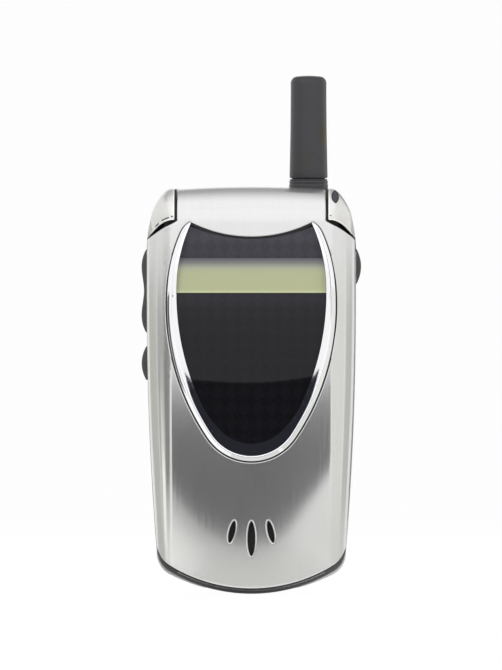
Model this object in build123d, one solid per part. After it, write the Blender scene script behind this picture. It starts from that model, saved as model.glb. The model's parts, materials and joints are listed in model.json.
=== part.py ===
from build123d import *
import os
from math import asin, cos, degrees, radians, sin, sqrt

# A clamshell mobile phone with a pull-out antenna. Millimetres, +Z up towards the antenna.
# The shut lid faces -Y and the battery door faces +Y. The origin is under the middle of
# the base, and Y is measured from the middle of the phone's thickness.

os.makedirs("parts", exist_ok=True)

# ---- Driving dimensions -------------------------------------------------------------

HALF_WIDTH = 22.1  # body, without the side keys
SIDE_KEY_REACH = 23.2  # outermost point of the side keys
BACK_Y = 12.25
CREST_Y = -12.25  # front of the chrome lens ring
FACE_Y = -11.95  # front of the lid, at its middle
LID_BACK_Y = -3.3
LID_SPLIT_Y = -5.7  # where the lid's cover and inner housing meet
BASE_FRONT_Y = -3.0
BASE_SPLIT_Y = -1.5  # where the keypad housing and the back housing meet
WALL = 1.3

BOTTOM_R = 38.0  # bottom edge of the base, seen from the front
CORNER_R = 5.0
SIDE_R = 645.0  # the sides lean out by a very large arc ...
SIDE_TURN = 4.7  # ... of this many degrees ...
UPRIGHT_Z = 61.0  # ... and are upright above this
RIM_INSET = 0.2  # the keypad housing is this much narrower than the back housing ...
RIM_BOTTOM_R = 34.3  # ... and has a rounder bottom edge ...
RIM_DROP = 0.17  # ... that comes down this much further than its inset says
SHOULDER_Z = 71.0  # the shoulders turn in above this
BACK_ROUND = 4.0  # rounding of the back housing's rear edge

HINGE_Y = -4.95
HINGE_Z = 79.3
BARREL_R = 6.7
BARREL_HALF = 15.7
BROW_R = 7.0  # front of the barrel, where the lid's face rolls over it
BROW_Z = 79.0
BARREL_SAG = 0.22  # how much slimmer the barrel is at its ends
TOP_SAG = 0.55  # how far the barrel's top edge drops at its ends
TROUGH_R = 7.15  # clearance round the barrel in the base
LIP_ANGLE = 38  # degrees above level, where the trough ends at the back
EAR_INNER_X = 16.25
EAR_TIP_X = 21.25  # where the ear's outline crosses the hinge axis's height
EAR_TOP_Z = 85.6

LID_GAP = 0.15  # the lid is this much narrower than the base on each side
LID_BOTTOM_Z = 1.28
LID_BOTTOM_R = 33.0
LID_CORNER_R = 2.0
LID_WALL = 1.2
LID_HOLLOW_TOP = 72.0
CREASE_X = 16.85  # upright soft crease on the lid's face
CROWN = 0.25  # how far the face drops from its middle to the crease

KEYPAD_FLOOR_Y = -2.2
KEY_TRAVEL = 0.35
KEY_GAP = 0.2

ANTENNA_X = 12.1
ANTENNA_Y = 6.6
ANTENNA_TOP_Z = 109.6

HINGE_AXIS = Axis((0, HINGE_Y, HINGE_Z), (1, 0, 0))


# ---- Small tools --------------------------------------------------------------------


def slab(face, y_front, y_back):
    """A face drawn as seen from the front, given depth from y_front to y_back."""
    return extrude(Plane.XZ.offset(-y_back) * face, y_back - y_front)


def bar(face, x_left, x_right):
    """A face drawn in Y and Z, given width from x_left to x_right."""
    return extrude(Plane.YZ.offset(x_left) * face, x_right - x_left)


def post(radius, x, y, z_low, z_high):
    """An upright round bar."""
    return Pos(x, y, (z_low + z_high) / 2) * Cylinder(radius, z_high - z_low)


def stud(radius, x, z, y_front, y_back):
    """A round bar that runs from front to back."""
    return Pos(x, 0, z) * slab(Circle(radius), y_front, y_back)


def axle(radius, x_left, x_right):
    """A round bar on the hinge axis."""
    middle = Pos((x_left + x_right) / 2, HINGE_Y, HINGE_Z)
    return middle * Rot(0, 90, 0) * Cylinder(radius, x_right - x_left)


def block(x0, x1, y0, y1, z0, z1):
    """A plain block between two corners."""
    return Pos((x0 + x1) / 2, (y0 + y1) / 2, (z0 + z1) / 2) * Box(x1 - x0, y1 - y0, z1 - z0)


def mirrored_face(right_edges):
    """The face between these right-hand edges and their mirror images."""
    right = Curve() + right_edges
    return make_face((right + mirror(right, Plane.YZ)).edges())


def both_sides(solid):
    return solid + mirror(solid, Plane.YZ)


def pointed_ellipse(width, height):
    """Two arcs that meet in a point at the top and at the bottom."""
    bow = ThreePointArc((0, height / 2), (width / 2, 0), (0, -height / 2))
    return mirrored_face([bow])


# ---- Outlines seen from the front -----------------------------------------------------


def side_chain(inset, bottom_r=BOTTOM_R, drop=0.0):
    """Bottom arc, corner and leaning side of the base's right half, moved in by inset."""
    lean = radians(90 - SIDE_TURN)
    corner_r = CORNER_R - inset
    side_r = SIDE_R - inset
    reach = HALF_WIDTH - inset - corner_r * sin(lean) - side_r * (1 - sin(lean))
    bottom_turn = degrees(asin(reach / (bottom_r - inset - corner_r)))
    bottom = JernArc((0, inset - drop), (1, 0), bottom_r - inset, bottom_turn)
    corner = JernArc(bottom @ 1, bottom % 1, corner_r, 90 - SIDE_TURN - bottom_turn)
    side = JernArc(corner @ 1, corner % 1, side_r, SIDE_TURN)
    return [bottom, corner, side]


def half_width(z):
    """Half the body's width at height z, above the bottom corners."""
    return HALF_WIDTH - max(0, UPRIGHT_Z - z) ** 2 / (2 * SIDE_R)


def base_face(inset, top_z, **bottom):
    """The base's outline with a straight top edge."""
    chain = side_chain(inset, **bottom)
    corner = (HALF_WIDTH - inset, top_z)
    return mirrored_face(chain + [Line(chain[-1] @ 1, corner), Line(corner, (0, top_z))])


SHOULDER_LEAN = (-0.19, 1)  # direction of the outline where it passes the hinge axis
EAR_CURVE = Spline(
    (EAR_TIP_X, HINGE_Z), (19.9, 82.75), (18.15, 85.0), (EAR_INNER_X, EAR_TOP_Z),
    tangents=[SHOULDER_LEAN, (-1, 0)],
)
SHOULDER_CURVE = Spline(
    (HALF_WIDTH, SHOULDER_Z), (21.75, 76.8), (EAR_TIP_X, HINGE_Z),
    tangents=[(0, 1), SHOULDER_LEAN],
)


def full_outline():
    """The base's whole outline, up over the ears."""
    chain = side_chain(0)
    side = Line(chain[-1] @ 1, (HALF_WIDTH, SHOULDER_Z))
    top = Line((EAR_INNER_X, EAR_TOP_Z), (0, EAR_TOP_Z))
    return mirrored_face(chain + [side, SHOULDER_CURVE, EAR_CURVE, top])


def above_curve(points, x_inner):
    """The face above a curve, from x_inner outwards and up past the ear."""
    curve = Spline(*points)
    end = curve @ 1
    rest = Polyline((end.X, end.Y), (end.X, 90), (x_inner, 90), points[0])
    return make_face([curve] + rest.edges())


EAR_LIP = [(EAR_INNER_X, 79.0), (18.5, 78.5), (21.1, 76.1), (22.6, 74.4)]
LID_SHOULDER = [(BARREL_HALF, 78.85), (18.5, 77.75), (21.0, 75.8), (22.6, 74.0)]

# The shield-shaped lens window: its sides are tangent arcs (radius and turn in degrees)
# that start level at the bottom and end at the top corners.
RING_BOTTOM_Z = 27.8
RING_ARCS = [(11.4, 55.9), (50.2, 40.4), (32.6, 18.0), (5.0, 35.7)]
LENS_BOTTOM_Z = 31.7
LENS_ARCS = [(8.9, 42.2), (19.9, 22.5), (54.4, 27.8), (33.1, 22.3)]
WINDOW_TOP_Z = 75.4  # lowest point of the window's hollow top edge


def window_sides(bottom_z, arcs, grow=0.0):
    """The right-hand side of the window, from the middle of its bottom to its top corner."""
    start, heading = (0, bottom_z - grow), (1, 0)
    sides = []
    for radius, turn in arcs:
        sides.append(JernArc(start, heading, radius + grow, turn))
        start, heading = sides[-1] @ 1, sides[-1] % 1
    return sides


def window_face(bottom_z, arcs, grow=0.0):
    """The window's whole outline, with its hollow top edge."""
    sides = window_sides(bottom_z, arcs, grow)
    corner = sides[-1] @ 1
    low = WINDOW_TOP_Z + grow
    rise = corner.Y - low
    top_r = (corner.X**2 + rise**2) / (2 * rise)
    middle = (corner.X / 2, low + top_r - sqrt(top_r**2 - corner.X**2 / 4))
    return mirrored_face(sides + [ThreePointArc(corner, middle, (0, low))])


def open_window_face(share):
    """The window left open at the top, a share of the way from the ring's edge to the lens."""
    arcs = [
        (a + (c - a) * share, b + (d - b) * share) for (a, b), (c, d) in zip(RING_ARCS, LENS_ARCS)
    ]
    sides = window_sides(RING_BOTTOM_Z + (LENS_BOTTOM_Z - RING_BOTTOM_Z) * share, arcs)
    corner = sides[-1] @ 1
    rest = [Line(corner, (corner.X, 84)), Line((corner.X, 84), (0, 84))]
    return mirrored_face(sides + rest)


# ---- Base: back housing with the hinge ears -------------------------------------------


def swing_room():
    """Room for the lid's face when it stands open: above a slope behind the trough."""
    angle = radians(LIP_ANGLE)
    lip = (HINGE_Y + TROUGH_R * cos(angle), HINGE_Z + TROUGH_R * sin(angle))
    middle = (HINGE_Y, HINGE_Z)
    outline = Polyline(middle, lip, (5.0, EAR_TOP_Z), (5.0, 90), (-12, 90), (-12, HINGE_Z), middle)
    return bar(make_face(outline.edges()), -HALF_WIDTH, HALF_WIDTH)


def ear():
    """The right-hand hinge ear: a dome over the axis that runs down into the shoulder.

    It is round as far back as the open lid's shoulder swings.
    """
    profile = Plane.XZ.offset(-HINGE_Y) * make_face(
        [EAR_CURVE]
        + Polyline((EAR_INNER_X, EAR_TOP_Z), (EAR_INNER_X, HINGE_Z), (EAR_TIP_X, HINGE_Z)).edges()
    )
    past_top = 94 - LIP_ANGLE
    dome = revolve(profile.rotate(HINGE_AXIS, -past_top), HINGE_AXIS, 90 + past_top)
    front = profile.rotate(HINGE_AXIS, 90)
    apron = extrude(front, 5.5, dir=(0, 0, -1))
    lip = above_curve(EAR_LIP, EAR_INNER_X)
    side = slab(full_outline() & lip, HINGE_Y, BASE_SPLIT_Y)
    hub = axle(5.0, EAR_INNER_X, 18.3)
    return dome + (apron & slab(lip, -12, BASE_SPLIT_Y)) + (side - swing_room()) + hub


BAY = (-16.1, 9.7, 15.2, 60.1)  # battery bay: x, x, z, z
BAY_FLOOR_Y = 3.8
DOOR_HALF = 16.6
DOOR_Z = (7.05, 61.05)
DOOR_Y = 10.8
DOOR_GAP = 0.12
POCKET_X = (17.2, 20.6)  # side pockets that hold the side keys' flanges
POCKET_Y = (0.0, 9.0)
CHANNEL_WALL_X = 14.4  # the right-hand pocket starts here, beside the antenna channel
UPPER_SCREWS = [(-15.0, 69.6), (9.3, 69.6)]
LOWER_SCREWS = [(-13.6, 11.2), (13.6, 11.2)]
ROCKER_Z = (55.2, 72.8)
SMART_Z = (45.2, 52.3)
VOICE_Z = (65.5, 72.9)
SIDE_KEY_Y = (0.8, 5.2)
LATCH_Z = (62.45, 68.2)
LATCH_HALF = 5.5
LATCH_TRAVEL = 1.2
JACK_X, JACK_Y = -9.0, 6.2
PORT_X, PORT_Z = 3.6, 76.2
PORT_R = 2.9
CONNECTOR_HALF = 9.7
BUSHING_Z = 82.4
CHANNEL_R = 1.5
LIGHT_X, LIGHT_Z = 17.66, 83.8
TONGUE_X = 9.0
TONGUE_HALF = 2.0


def door_face(grow):
    return Pos(0, sum(DOOR_Z) / 2) * RectangleRounded(
        2 * (DOOR_HALF + grow), DOOR_Z[1] - DOOR_Z[0] + 2 * grow, 3 + grow
    )


def latch_face(grow, travel=0.0):
    z0, z1 = LATCH_Z[0] - grow, LATCH_Z[1] + grow + travel
    return Pos(0, (z0 + z1) / 2) * RectangleRounded(2 * (LATCH_HALF + grow), z1 - z0, 2.0)


def light_bar():
    """The status light's pointed outline, leaning with the ear."""
    outline = Pos(LIGHT_X, LIGHT_Z) * Rot(0, 0, 8) * pointed_ellipse(1.4, 2.7)
    return slab(outline, -12, -8.2)


def side_slot(sign, z_range, gap):
    """The hole for a side key, through the side wall."""
    x0, x1 = sorted((sign * 19.5, sign * 24))
    return block(
        x0, x1, SIDE_KEY_Y[0] - gap, SIDE_KEY_Y[1] + gap, z_range[0] - gap, z_range[1] + gap
    )


def back_housing():
    shell = slab(full_outline(), BASE_SPLIT_Y, BACK_Y)
    shell = fillet(shell.faces().sort_by(Axis.Y)[-1].edges(), BACK_ROUND)
    pillars = slab(full_outline() & Pos(0, 82) * Rectangle(60, 19.1), BASE_FRONT_Y, BASE_SPLIT_Y)
    shell += pillars
    # trough for the lid's barrel
    shell -= swing_room() + axle(TROUGH_R, -EAR_INNER_X, EAR_INNER_X)
    shell -= block(-EAR_INNER_X, EAR_INNER_X, -12, HINGE_Y, 72, HINGE_Z)
    shell += both_sides(ear())
    # room for the board, and side pockets for the side keys
    shell -= slab(base_face(WALL, 71.0), BASE_SPLIT_Y, 3.0)
    pockets = block(-POCKET_X[1], -POCKET_X[0], *POCKET_Y, 12, 74.6)
    pockets += block(CHANNEL_WALL_X, POCKET_X[1], *POCKET_Y, 18, 74.6)
    shell -= pockets & slab(base_face(WALL, 76), *POCKET_Y)
    # battery bay and door
    x0, x1, z0, z1 = BAY
    bay = Pos((x0 + x1) / 2, (z0 + z1) / 2) * RectangleRounded(x1 - x0, z1 - z0, 1.5)
    shell -= slab(bay, BAY_FLOOR_Y, 13)
    shell -= block(-5.2, 1.2, BAY_FLOOR_Y, 8, z0 - 2.6, z0 + 1)
    shell -= slab(door_face(DOOR_GAP), DOOR_Y - 0.1, 13)
    shell -= both_sides(block(TONGUE_X - 2.3, TONGUE_X + 2.3, 9.2, 11.6, 5.2, 8.6))
    # latch pocket, with the way through for its nose
    shell -= slab(latch_face(0.15, LATCH_TRAVEL), 10.4, 13)
    shell -= block(-2.2, 2.2, 10.4, 11.5, DOOR_Z[1], LATCH_Z[0])
    # antenna channel and the bushing's seat
    shell -= post(CHANNEL_R, ANTENNA_X, ANTENNA_Y, 22, BUSHING_Z)
    shell -= post(4.2, ANTENNA_X, ANTENNA_Y, BUSHING_Z, 90)
    # headset jack, test port, connector and screws
    shell -= block(JACK_X - 3.1, JACK_X + 3.1, 2.9, 9.3, 69, 82.1)
    shell -= post(2.4, JACK_X, JACK_Y, 80, 90)
    shell -= stud(PORT_R, PORT_X, PORT_Z, 9.8, 13)
    shell -= block(-CONNECTOR_HALF, CONNECTOR_HALF, BASE_SPLIT_Y, 6.2, -1, 2.6)
    shell -= block(-CONNECTOR_HALF, CONNECTOR_HALF, 3.0, 6.2, 0, 7.2)
    for x, z in UPPER_SCREWS:
        shell -= stud(0.8, x, z, 2, 13) + stud(1.9, x, z, 10.9, 13)
    for x, z in LOWER_SCREWS:
        shell -= stud(0.8, x, z, 2, 13) + stud(1.8, x, z, 9.3, 13)
    # hinge bores and the status light's window
    shell -= axle(1.25, -18.0, -EAR_INNER_X) + axle(1.95, EAR_INNER_X, 18.0)
    shell -= light_bar()
    # side keys
    for sign, z_range in ((-1, ROCKER_Z), (-1, SMART_Z), (1, VOICE_Z)):
        shell -= side_slot(sign, z_range, 0.2)
    return shell


# ---- Base: keypad housing and keys ------------------------------------------------------

KEY_COLUMN = 12.3
ROW_Z = (57.0, 48.2, 39.4, 30.6)  # 1 2 3, 4 5 6, 7 8 9, star 0 hash
SOFT_Z = 65.2
CALL_Z = 17.6
DIGITS = (("1", "2", "3"), ("4", "5", "6"), ("7", "8", "9"), ("star", "0", "hash"))


def key_table():
    """Name, x, z, width and height of every key that is pressed straight in."""
    keys = [("key_soft_left", -11.7, SOFT_Z, 9.6, 4.8), ("key_menu", 0, SOFT_Z, 8.4, 4.8)]
    keys.append(("key_soft_right", 11.7, SOFT_Z, 9.6, 4.8))
    for names, z in zip(DIGITS, ROW_Z):
        for column, name in enumerate(names):
            keys.append(("key_" + name, (column - 1) * KEY_COLUMN, z, 9.8, 5.8))
    keys.append(("key_send", -KEY_COLUMN, CALL_Z, 9.6, 6.4))
    keys.append(("key_end", KEY_COLUMN, CALL_Z, 9.6, 6.4))
    return keys


SCROLL = (0, CALL_Z, 8.6, 11.6)
MIC_Z = 7.4
FLANGE = 0.5  # how far a key's flange reaches past its cap


def key_face(x, z, width, height, grow=0.0):
    radius = min(width, height) / 2 - 0.15 + grow
    return Pos(x, z) * RectangleRounded(width + 2 * grow, height + 2 * grow, radius)


def key(x, z, width, height, front=BASE_FRONT_Y, flange=(-1.45, -1.0)):
    """A key cap with a softly rounded top and the flange that keeps it in the housing."""
    cap = slab(key_face(x, z, width, height), front, flange[0])
    cap = fillet(cap.faces().sort_by(Axis.Y)[0].edges(), 0.45)
    return cap + slab(key_face(x, z, width, height, FLANGE), *flange)


def scroll_rocker():
    """One tall key that tips up or down, so its flange has room to tilt."""
    return key(*SCROLL, BASE_FRONT_Y + 0.1, (-1.1, -0.95))


def keypad_housing():
    rim = base_face(RIM_INSET, 72.3, bottom_r=RIM_BOTTOM_R, drop=RIM_DROP)
    frame = slab(rim, BASE_FRONT_Y, BASE_SPLIT_Y)
    frame = chamfer(frame.faces().sort_by(Axis.Y)[0].edges(), 0.25)
    frame -= slab(base_face(2.1, 70.9), BASE_FRONT_Y, KEYPAD_FLOOR_Y)
    skirt = slab(base_face(1.4, 70.9), BASE_SPLIT_Y, -0.7)
    frame += skirt - slab(base_face(2.2, 70.1), BASE_SPLIT_Y, -0.7)
    for x, z in UPPER_SCREWS + LOWER_SCREWS:
        frame += stud(1.25, x, z, BASE_SPLIT_Y, 2.7) - stud(0.6, x, z, -1.0, 2.7)
    for _, x, z, width, height in key_table():
        frame -= slab(key_face(x, z, width, height, KEY_GAP), -2.5, BASE_SPLIT_Y)
    frame -= slab(key_face(*SCROLL, KEY_GAP), -2.5, BASE_SPLIT_Y)
    return frame - stud(0.45, 0, MIC_Z, -2.5, BASE_SPLIT_Y)


def side_key(sign, z_range, hump_z, flange_x):
    """A rubber side key: humps outside, a straight neck in the wall and a flange inside."""
    z0, z1 = z_range
    wall_x = HALF_WIDTH - 0.2
    edge = [(wall_x, z1), (wall_x + 0.35, z1)]
    for number, z in enumerate(hump_z):
        if number:
            edge.append((SIDE_KEY_REACH - 0.5, (z + hump_z[number - 1]) / 2))
        edge.append((SIDE_KEY_REACH, z))
    edge += [(wall_x + 0.35, z0), (wall_x, z0)]
    bulge = Spline(*edge[1:-1])
    neck = Polyline(edge[-2], edge[-1], (flange_x, z0), (flange_x, z1), edge[0], edge[1])
    face = make_face([bulge] + neck.edges())
    solid = slab(face, *SIDE_KEY_Y)
    rim = solid.edges().filter_by(GeomType.BSPLINE)
    solid = fillet(rim, 0.5)
    flange = block(
        flange_x - 0.5, flange_x, SIDE_KEY_Y[0] - 0.6, SIDE_KEY_Y[1] + 0.6, z0 - 0.6, z1 + 0.6
    )
    solid += flange
    return solid if sign > 0 else mirror(solid, Plane.YZ)


# ---- Base: battery, door and latch --------------------------------------------------------

DOOR_PIVOT = (11.52, DOOR_Z[0] + 0.73)  # y and z of the door's lower edge, its tilting axis


def battery_door():
    """A flat cover with a rolled lower edge, two tongues under it and a hollow inside."""
    door = slab(door_face(0), DOOR_Y, BACK_Y)
    lower = door.edges().filter_by(Axis.X).sort_by(Axis.Z)[:2]
    door = fillet(lower, 0.7)
    hollow = Pos(0, sum(DOOR_Z) / 2 + 1) * RectangleRounded(30, 48, 2)
    ribs = Sketch() + [Pos(0, z) * Rectangle(30, 0.8) for z in (22, 34, 46)]
    door -= slab(hollow - ribs, DOOR_Y, DOOR_Y + 0.45)
    return door + both_sides(
        block(TONGUE_X - TONGUE_HALF, TONGUE_X + TONGUE_HALF, 10.9, 11.45, 5.7, 7.6)
    )


def battery_latch():
    """A sliding thumb button with grip grooves, and the nose that holds the door."""
    button = slab(latch_face(0), 10.6, BACK_Y - 0.1)
    top = button.faces().sort_by(Axis.Y)[-1]
    button = fillet(top.edges(), 0.4)
    for row in range(4):
        z = LATCH_Z[0] + 1.4 + row * 1.0
        button -= bar(Pos(BACK_Y - 0.1, z) * Circle(0.22), -3.6, 3.6)
    return button + block(-2.0, 2.0, 10.6, 11.3, DOOR_Z[1] + 0.25, LATCH_Z[0])


def battery_pack():
    x0, x1, z0, z1 = BAY
    pack = block(x0 + 0.2, x1 - 0.2, BAY_FLOOR_Y + 0.1, 10.5, z0 + 0.25, z1 - 0.2)
    return fillet(pack.edges().filter_by(Axis.Y), 1.3)


def battery_contacts():
    """A contact block below the bay, with three spring blades towards the battery."""
    z_top = BAY[2] - 0.05
    body = block(-5.0, 1.0, BAY_FLOOR_Y, 7.4, z_top - 2.4, z_top)
    for x in (-4.0, -2.0, 0.0):
        blade = make_face(
            [ThreePointArc((5.0, z_top), (5.7, z_top + 0.22), (6.4, z_top)), Line((6.4, z_top), (5.0, z_top))]
        )
        body += bar(blade, x - 0.4, x + 0.4)
    return body


# ---- Base: board and what it carries ---------------------------------------------------------

BOARD_Y = (-0.2, 0.6)


def main_board():
    board = slab(base_face(2.4, 70.0), *BOARD_Y)
    for x, z in UPPER_SCREWS + LOWER_SCREWS:
        board -= stud(1.5, x, z, *BOARD_Y)
    for sign, z_range in ((-1, ROCKER_Z), (-1, SMART_Z), (1, VOICE_Z)):
        x0, x1 = sorted((sign * 18.6, sign * 21))
        board -= block(x0, x1, *BOARD_Y, z_range[0] - 1.2, z_range[1] + 1.2)
    return board


def shield_cans():
    """Three pressed tin lids on the back of the board."""
    cans = []
    for x0, x1, z0, z1 in ((-15, -1.5, 37, 63), (0.5, 14, 37, 66), (-14, 12, 20, 34)):
        outer = block(x0, x1, BOARD_Y[1], 2.4, z0, z1)
        outer = fillet(outer.edges().filter_by(Axis.Y), 0.8)
        inner = block(x0 + 0.25, x1 - 0.25, BOARD_Y[1], 2.15, z0 + 0.25, z1 - 0.25)
        cans.append(outer - inner)
    return Compound(children=cans)


def dome_sheet():
    sheet = slab(Pos(0, 40.9) * RectangleRounded(35, 54, 2), -0.27, BOARD_Y[0])
    for _, x, z, _, _ in key_table():
        sheet += stud(1.9, x, z, -0.35, -0.27)
    return sheet


def keypad_mat():
    return slab(Pos(0, 40.9) * RectangleRounded(35, 54, 2), -0.6, -0.35)


def side_switches():
    """Four small push switches that stand on the board behind the side keys."""
    solids = []
    for sign, z in ((-1, 68.0), (-1, 60.0), (-1, 48.7), (1, 69.2)):
        x0, x1 = sorted((sign * 17.4, sign * 18.5))
        body = block(x0, x1, 1.2, 4.8, z - 2, z + 2)
        nub = block(*sorted((sign * 18.5, sign * 19.05)), 2.4, 3.6, z - 0.6, z + 0.6)
        foot = block(x0, x1, BOARD_Y[1], 1.2, z - 1, z + 1)
        solids.append(body + nub + foot)
    return Compound(children=solids)


def accessory_connector():
    """A wide bottom socket: a thin shell round a contact tongue."""
    shell = block(-9.4, 9.4, 0.7, 5.9, 1.4, 7.0)
    shell = fillet(shell.edges().filter_by(Axis.Z), 1.0)
    shell -= block(-8.6, 8.6, 1.5, 5.1, 1.4, 5.8)
    return shell + block(-7.2, 7.2, 2.9, 3.8, 1.9, 5.8)


def headset_jack():
    """A 2.5 mm socket with a ring that shows on top of the phone."""
    body = block(JACK_X - 3, JACK_X + 3, 3.2, 9.2, 73, 82)
    body += post(2.35, JACK_X, JACK_Y, 82, 85.5)
    return body - post(1.28, JACK_X, JACK_Y, 74.5, 90)


# ---- Base: antenna ------------------------------------------------------------------------------


def turned(points):
    """A solid of revolution on the antenna's axis, from radius and height pairs."""
    outline = Polyline((0, points[0][1]), *points, (0, points[-1][1]), (0, points[0][1]))
    place = Pos(ANTENNA_X, ANTENNA_Y, 0)
    return place * revolve(Plane.XZ * make_face(outline.edges()), Axis.Z)


def antenna_bushing():
    """The ridged collar that guides the whip."""
    collar = turned([(4.15, BUSHING_Z), (4.15, 87.0), (3.95, 87.25), (3.75, 87.3), (3.75, 87.85)])
    return collar - post(1.12, ANTENNA_X, ANTENNA_Y, 80, 90)


def antenna_head():
    """The thick end that is gripped: slightly tapered, with a rounded top."""
    low, high = 87.95, ANTENNA_TOP_Z
    profile = [
        Line((0, low), (3.8, low)),
        Line((3.8, low), (4.05, low + 0.35)),
        Line((4.05, low + 0.35), (3.8, high - 1.5)),
        ThreePointArc((3.8, high - 1.5), (3.3, high - 0.62), (2.3, high - 0.16)),
        Line((2.3, high - 0.16), (1.2, high)),
        Line((1.2, high), (0, high)),
        Line((0, high), (0, low)),
    ]
    head = Pos(ANTENNA_X, ANTENNA_Y, 0) * revolve(Plane.XZ * make_face(profile), Axis.Z)
    return head - post(1.05, ANTENNA_X, ANTENNA_Y, 80, 96)


def antenna_whip():
    """The thin rod that slides in the housing, with a stop sleeve at its foot."""
    return post(1.05, ANTENNA_X, ANTENNA_Y, 24, 96) + post(1.4, ANTENNA_X, ANTENNA_Y, 24, 27)


# ---- Base: vibration motor -----------------------------------------------------------------------

MOTOR_X, MOTOR_Y = 17.5, 6.2


def vibration_motor():
    can = fillet(post(2.2, MOTOR_X, MOTOR_Y, 24, 36).edges(), 0.3)
    feet = block(MOTOR_X - 1.4, MOTOR_X + 1.4, MOTOR_Y, 9.0, 26, 34)
    return can + feet - post(0.5, MOTOR_X, MOTOR_Y, 30, 40)


def motor_weight():
    """A half-round tungsten weight on the motor's shaft."""
    half = post(2.5, MOTOR_X, MOTOR_Y, 36.8, 40.8) & block(10, 25, -2, MOTOR_Y + 0.4, 30, 45)
    hub = post(0.95, MOTOR_X, MOTOR_Y, 36.8, 40.8)
    return half + hub + post(0.45, MOTOR_X, MOTOR_Y, 31, 36.8)


# ---- Base: screws, plug, microphone and hinge pins -------------------------------------------------


def screw_from_back(x, z, head_y, head_r, tip_y):
    """A small screw with a star recess in its head."""
    head = stud(head_r, x, z, head_y - 1.1, head_y)
    shank = stud(0.6, x, z, tip_y, head_y - 1.1)
    star = Pos(x, z) * (Rectangle(0.5, 1.6) + Rot(0, 0, 60) * Rectangle(0.5, 1.6)
                        + Rot(0, 0, -60) * Rectangle(0.5, 1.6))
    return head + shank - slab(star, head_y - 0.6, head_y)


def housing_screws():
    upper = [screw_from_back(x, z, 12.0, 1.7, -0.8) for x, z in UPPER_SCREWS]
    lower = [screw_from_back(x, z, 10.4, 1.6, -0.8) for x, z in LOWER_SCREWS]
    return Compound(children=upper + lower)


def rf_plug():
    plug = stud(PORT_R - 0.05, PORT_X, PORT_Z, 9.8, BACK_Y)
    plug = fillet(plug.faces().sort_by(Axis.Y)[-1].edges(), 0.35)
    notch = Pos(PORT_X, PORT_Z - PORT_R) * Circle(0.7)
    return plug - slab(notch, BACK_Y - 0.6, BACK_Y)


def microphone():
    return stud(2.4, 0, MIC_Z, -1.45, BOARD_Y[0])


def hinge_pins():
    """Left: the cam shaft that the cartridge grips. Right: a plain pin. Each has a washer."""
    left = axle(1.25, -18.0, -10.0) + axle(4.0, -16.2, -15.8)
    right = axle(1.95, 9.5, 18.0) + axle(4.0, 15.8, 16.2)
    return Compound(children=[left, right])


# ---- Lid ----------------------------------------------------------------------------------------------


def lid_section(z, inset):
    """The lid's level section: a crowned face, soft creases and rolled-back wings."""
    low = min(1.0, max(0.0, (30 - z) / 32))
    y = FACE_Y + 0.7 * low**2 + inset
    w = half_width(z) - LID_GAP - inset
    crease = CREASE_X - 0.6 * inset
    wing_y = -6.0
    edges = [ThreePointArc((-crease, y + CROWN), (0, y), (crease, y + CROWN))]
    for s in (1, -1):
        reach = s * (crease + 0.45 * (w - crease))
        edges.append(
            Bezier((s * crease, y + CROWN), (reach, y + CROWN + 0.6), (s * w, y + 2.6), (s * w, wing_y))
        )
    back = Polyline((w, wing_y), (w, LID_BACK_Y), (-w, LID_BACK_Y), (-w, wing_y))
    return Plane.XY.offset(z) * make_face(edges + back.edges())


def lid_slug(inset, top_z):
    """The lid without its barrel, as one solid whose walls are moved in by inset."""
    body = loft([lid_section(z, inset) for z in (-2, 12, 24, 42, 61, 80)])
    arc = JernArc((0, LID_BOTTOM_Z + inset), (1, 0), LID_BOTTOM_R - inset, 46)
    end = arc @ 1
    sides = [Line(end, (26, end.Y)), Line((26, end.Y), (26, top_z)), Line((26, top_z), (0, top_z))]
    return body & slab(mirrored_face([arc] + sides), -14, 0)


def barrel():
    """The lid's hinge barrel: a round back and a front that carries on the lid's face."""

    def crowned(radius, z):
        ends = [(-BARREL_HALF, z + radius - BARREL_SAG), (BARREL_HALF, z + radius - BARREL_SAG)]
        arc = ThreePointArc(ends[0], (0, z + radius), ends[1])
        rest = Polyline(ends[1], (BARREL_HALF, z), (-BARREL_HALF, z), ends[0])
        face = Plane.XZ.offset(-HINGE_Y) * make_face([arc] + rest.edges())
        return revolve(face, Axis((0, HINGE_Y, z), (1, 0, 0)))

    brow = crowned(BROW_R, BROW_Z) & block(-20, 20, -14, HINGE_Y, 70, 90)
    round_back = crowned(BARREL_R, HINGE_Z)
    top_r = BARREL_HALF**2 / (2 * TOP_SAG)
    crown_z = HINGE_Z + BARREL_R
    cap = slab(Pos(0, crown_z - top_r) * Circle(top_r), -14, 4)
    return (brow + round_back) & cap


def ear_clearance():
    """What the ears sweep past, seen from the lid, as one turned form on each side."""
    points = [(BARREL_HALF, 6.5), (16.6, 6.5), (18.5, 5.75), (19.5, 4.75), (20.4, 4.1), (24, 4.05)]
    edge = Spline(*[(x, HINGE_Z + r) for x, r in points[1:-1]])
    start, end = points[0], points[-1]
    outline = [
        Line((start[0], HINGE_Z), (start[0], HINGE_Z + start[1])),
        Line((start[0], HINGE_Z + start[1]), edge @ 0),
        edge,
        Line(edge @ 1, (end[0], HINGE_Z + end[1])),
        Line((end[0], HINGE_Z + end[1]), (end[0], HINGE_Z)),
        Line((end[0], HINGE_Z), (start[0], HINGE_Z)),
    ]
    return both_sides(revolve(Plane.XZ.offset(-HINGE_Y) * make_face(outline), HINGE_AXIS))


def whole_lid():
    lid = lid_slug(0, BROW_Z)
    corners = lid.edges().filter_by(lambda e: e.center().Z < 12 and abs(e.center().X) > 15)
    lid = fillet(corners, LID_CORNER_R)
    lid -= both_sides(slab(above_curve(LID_SHOULDER, BARREL_HALF), -14, 0))
    return lid - ear_clearance() + barrel()


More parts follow.
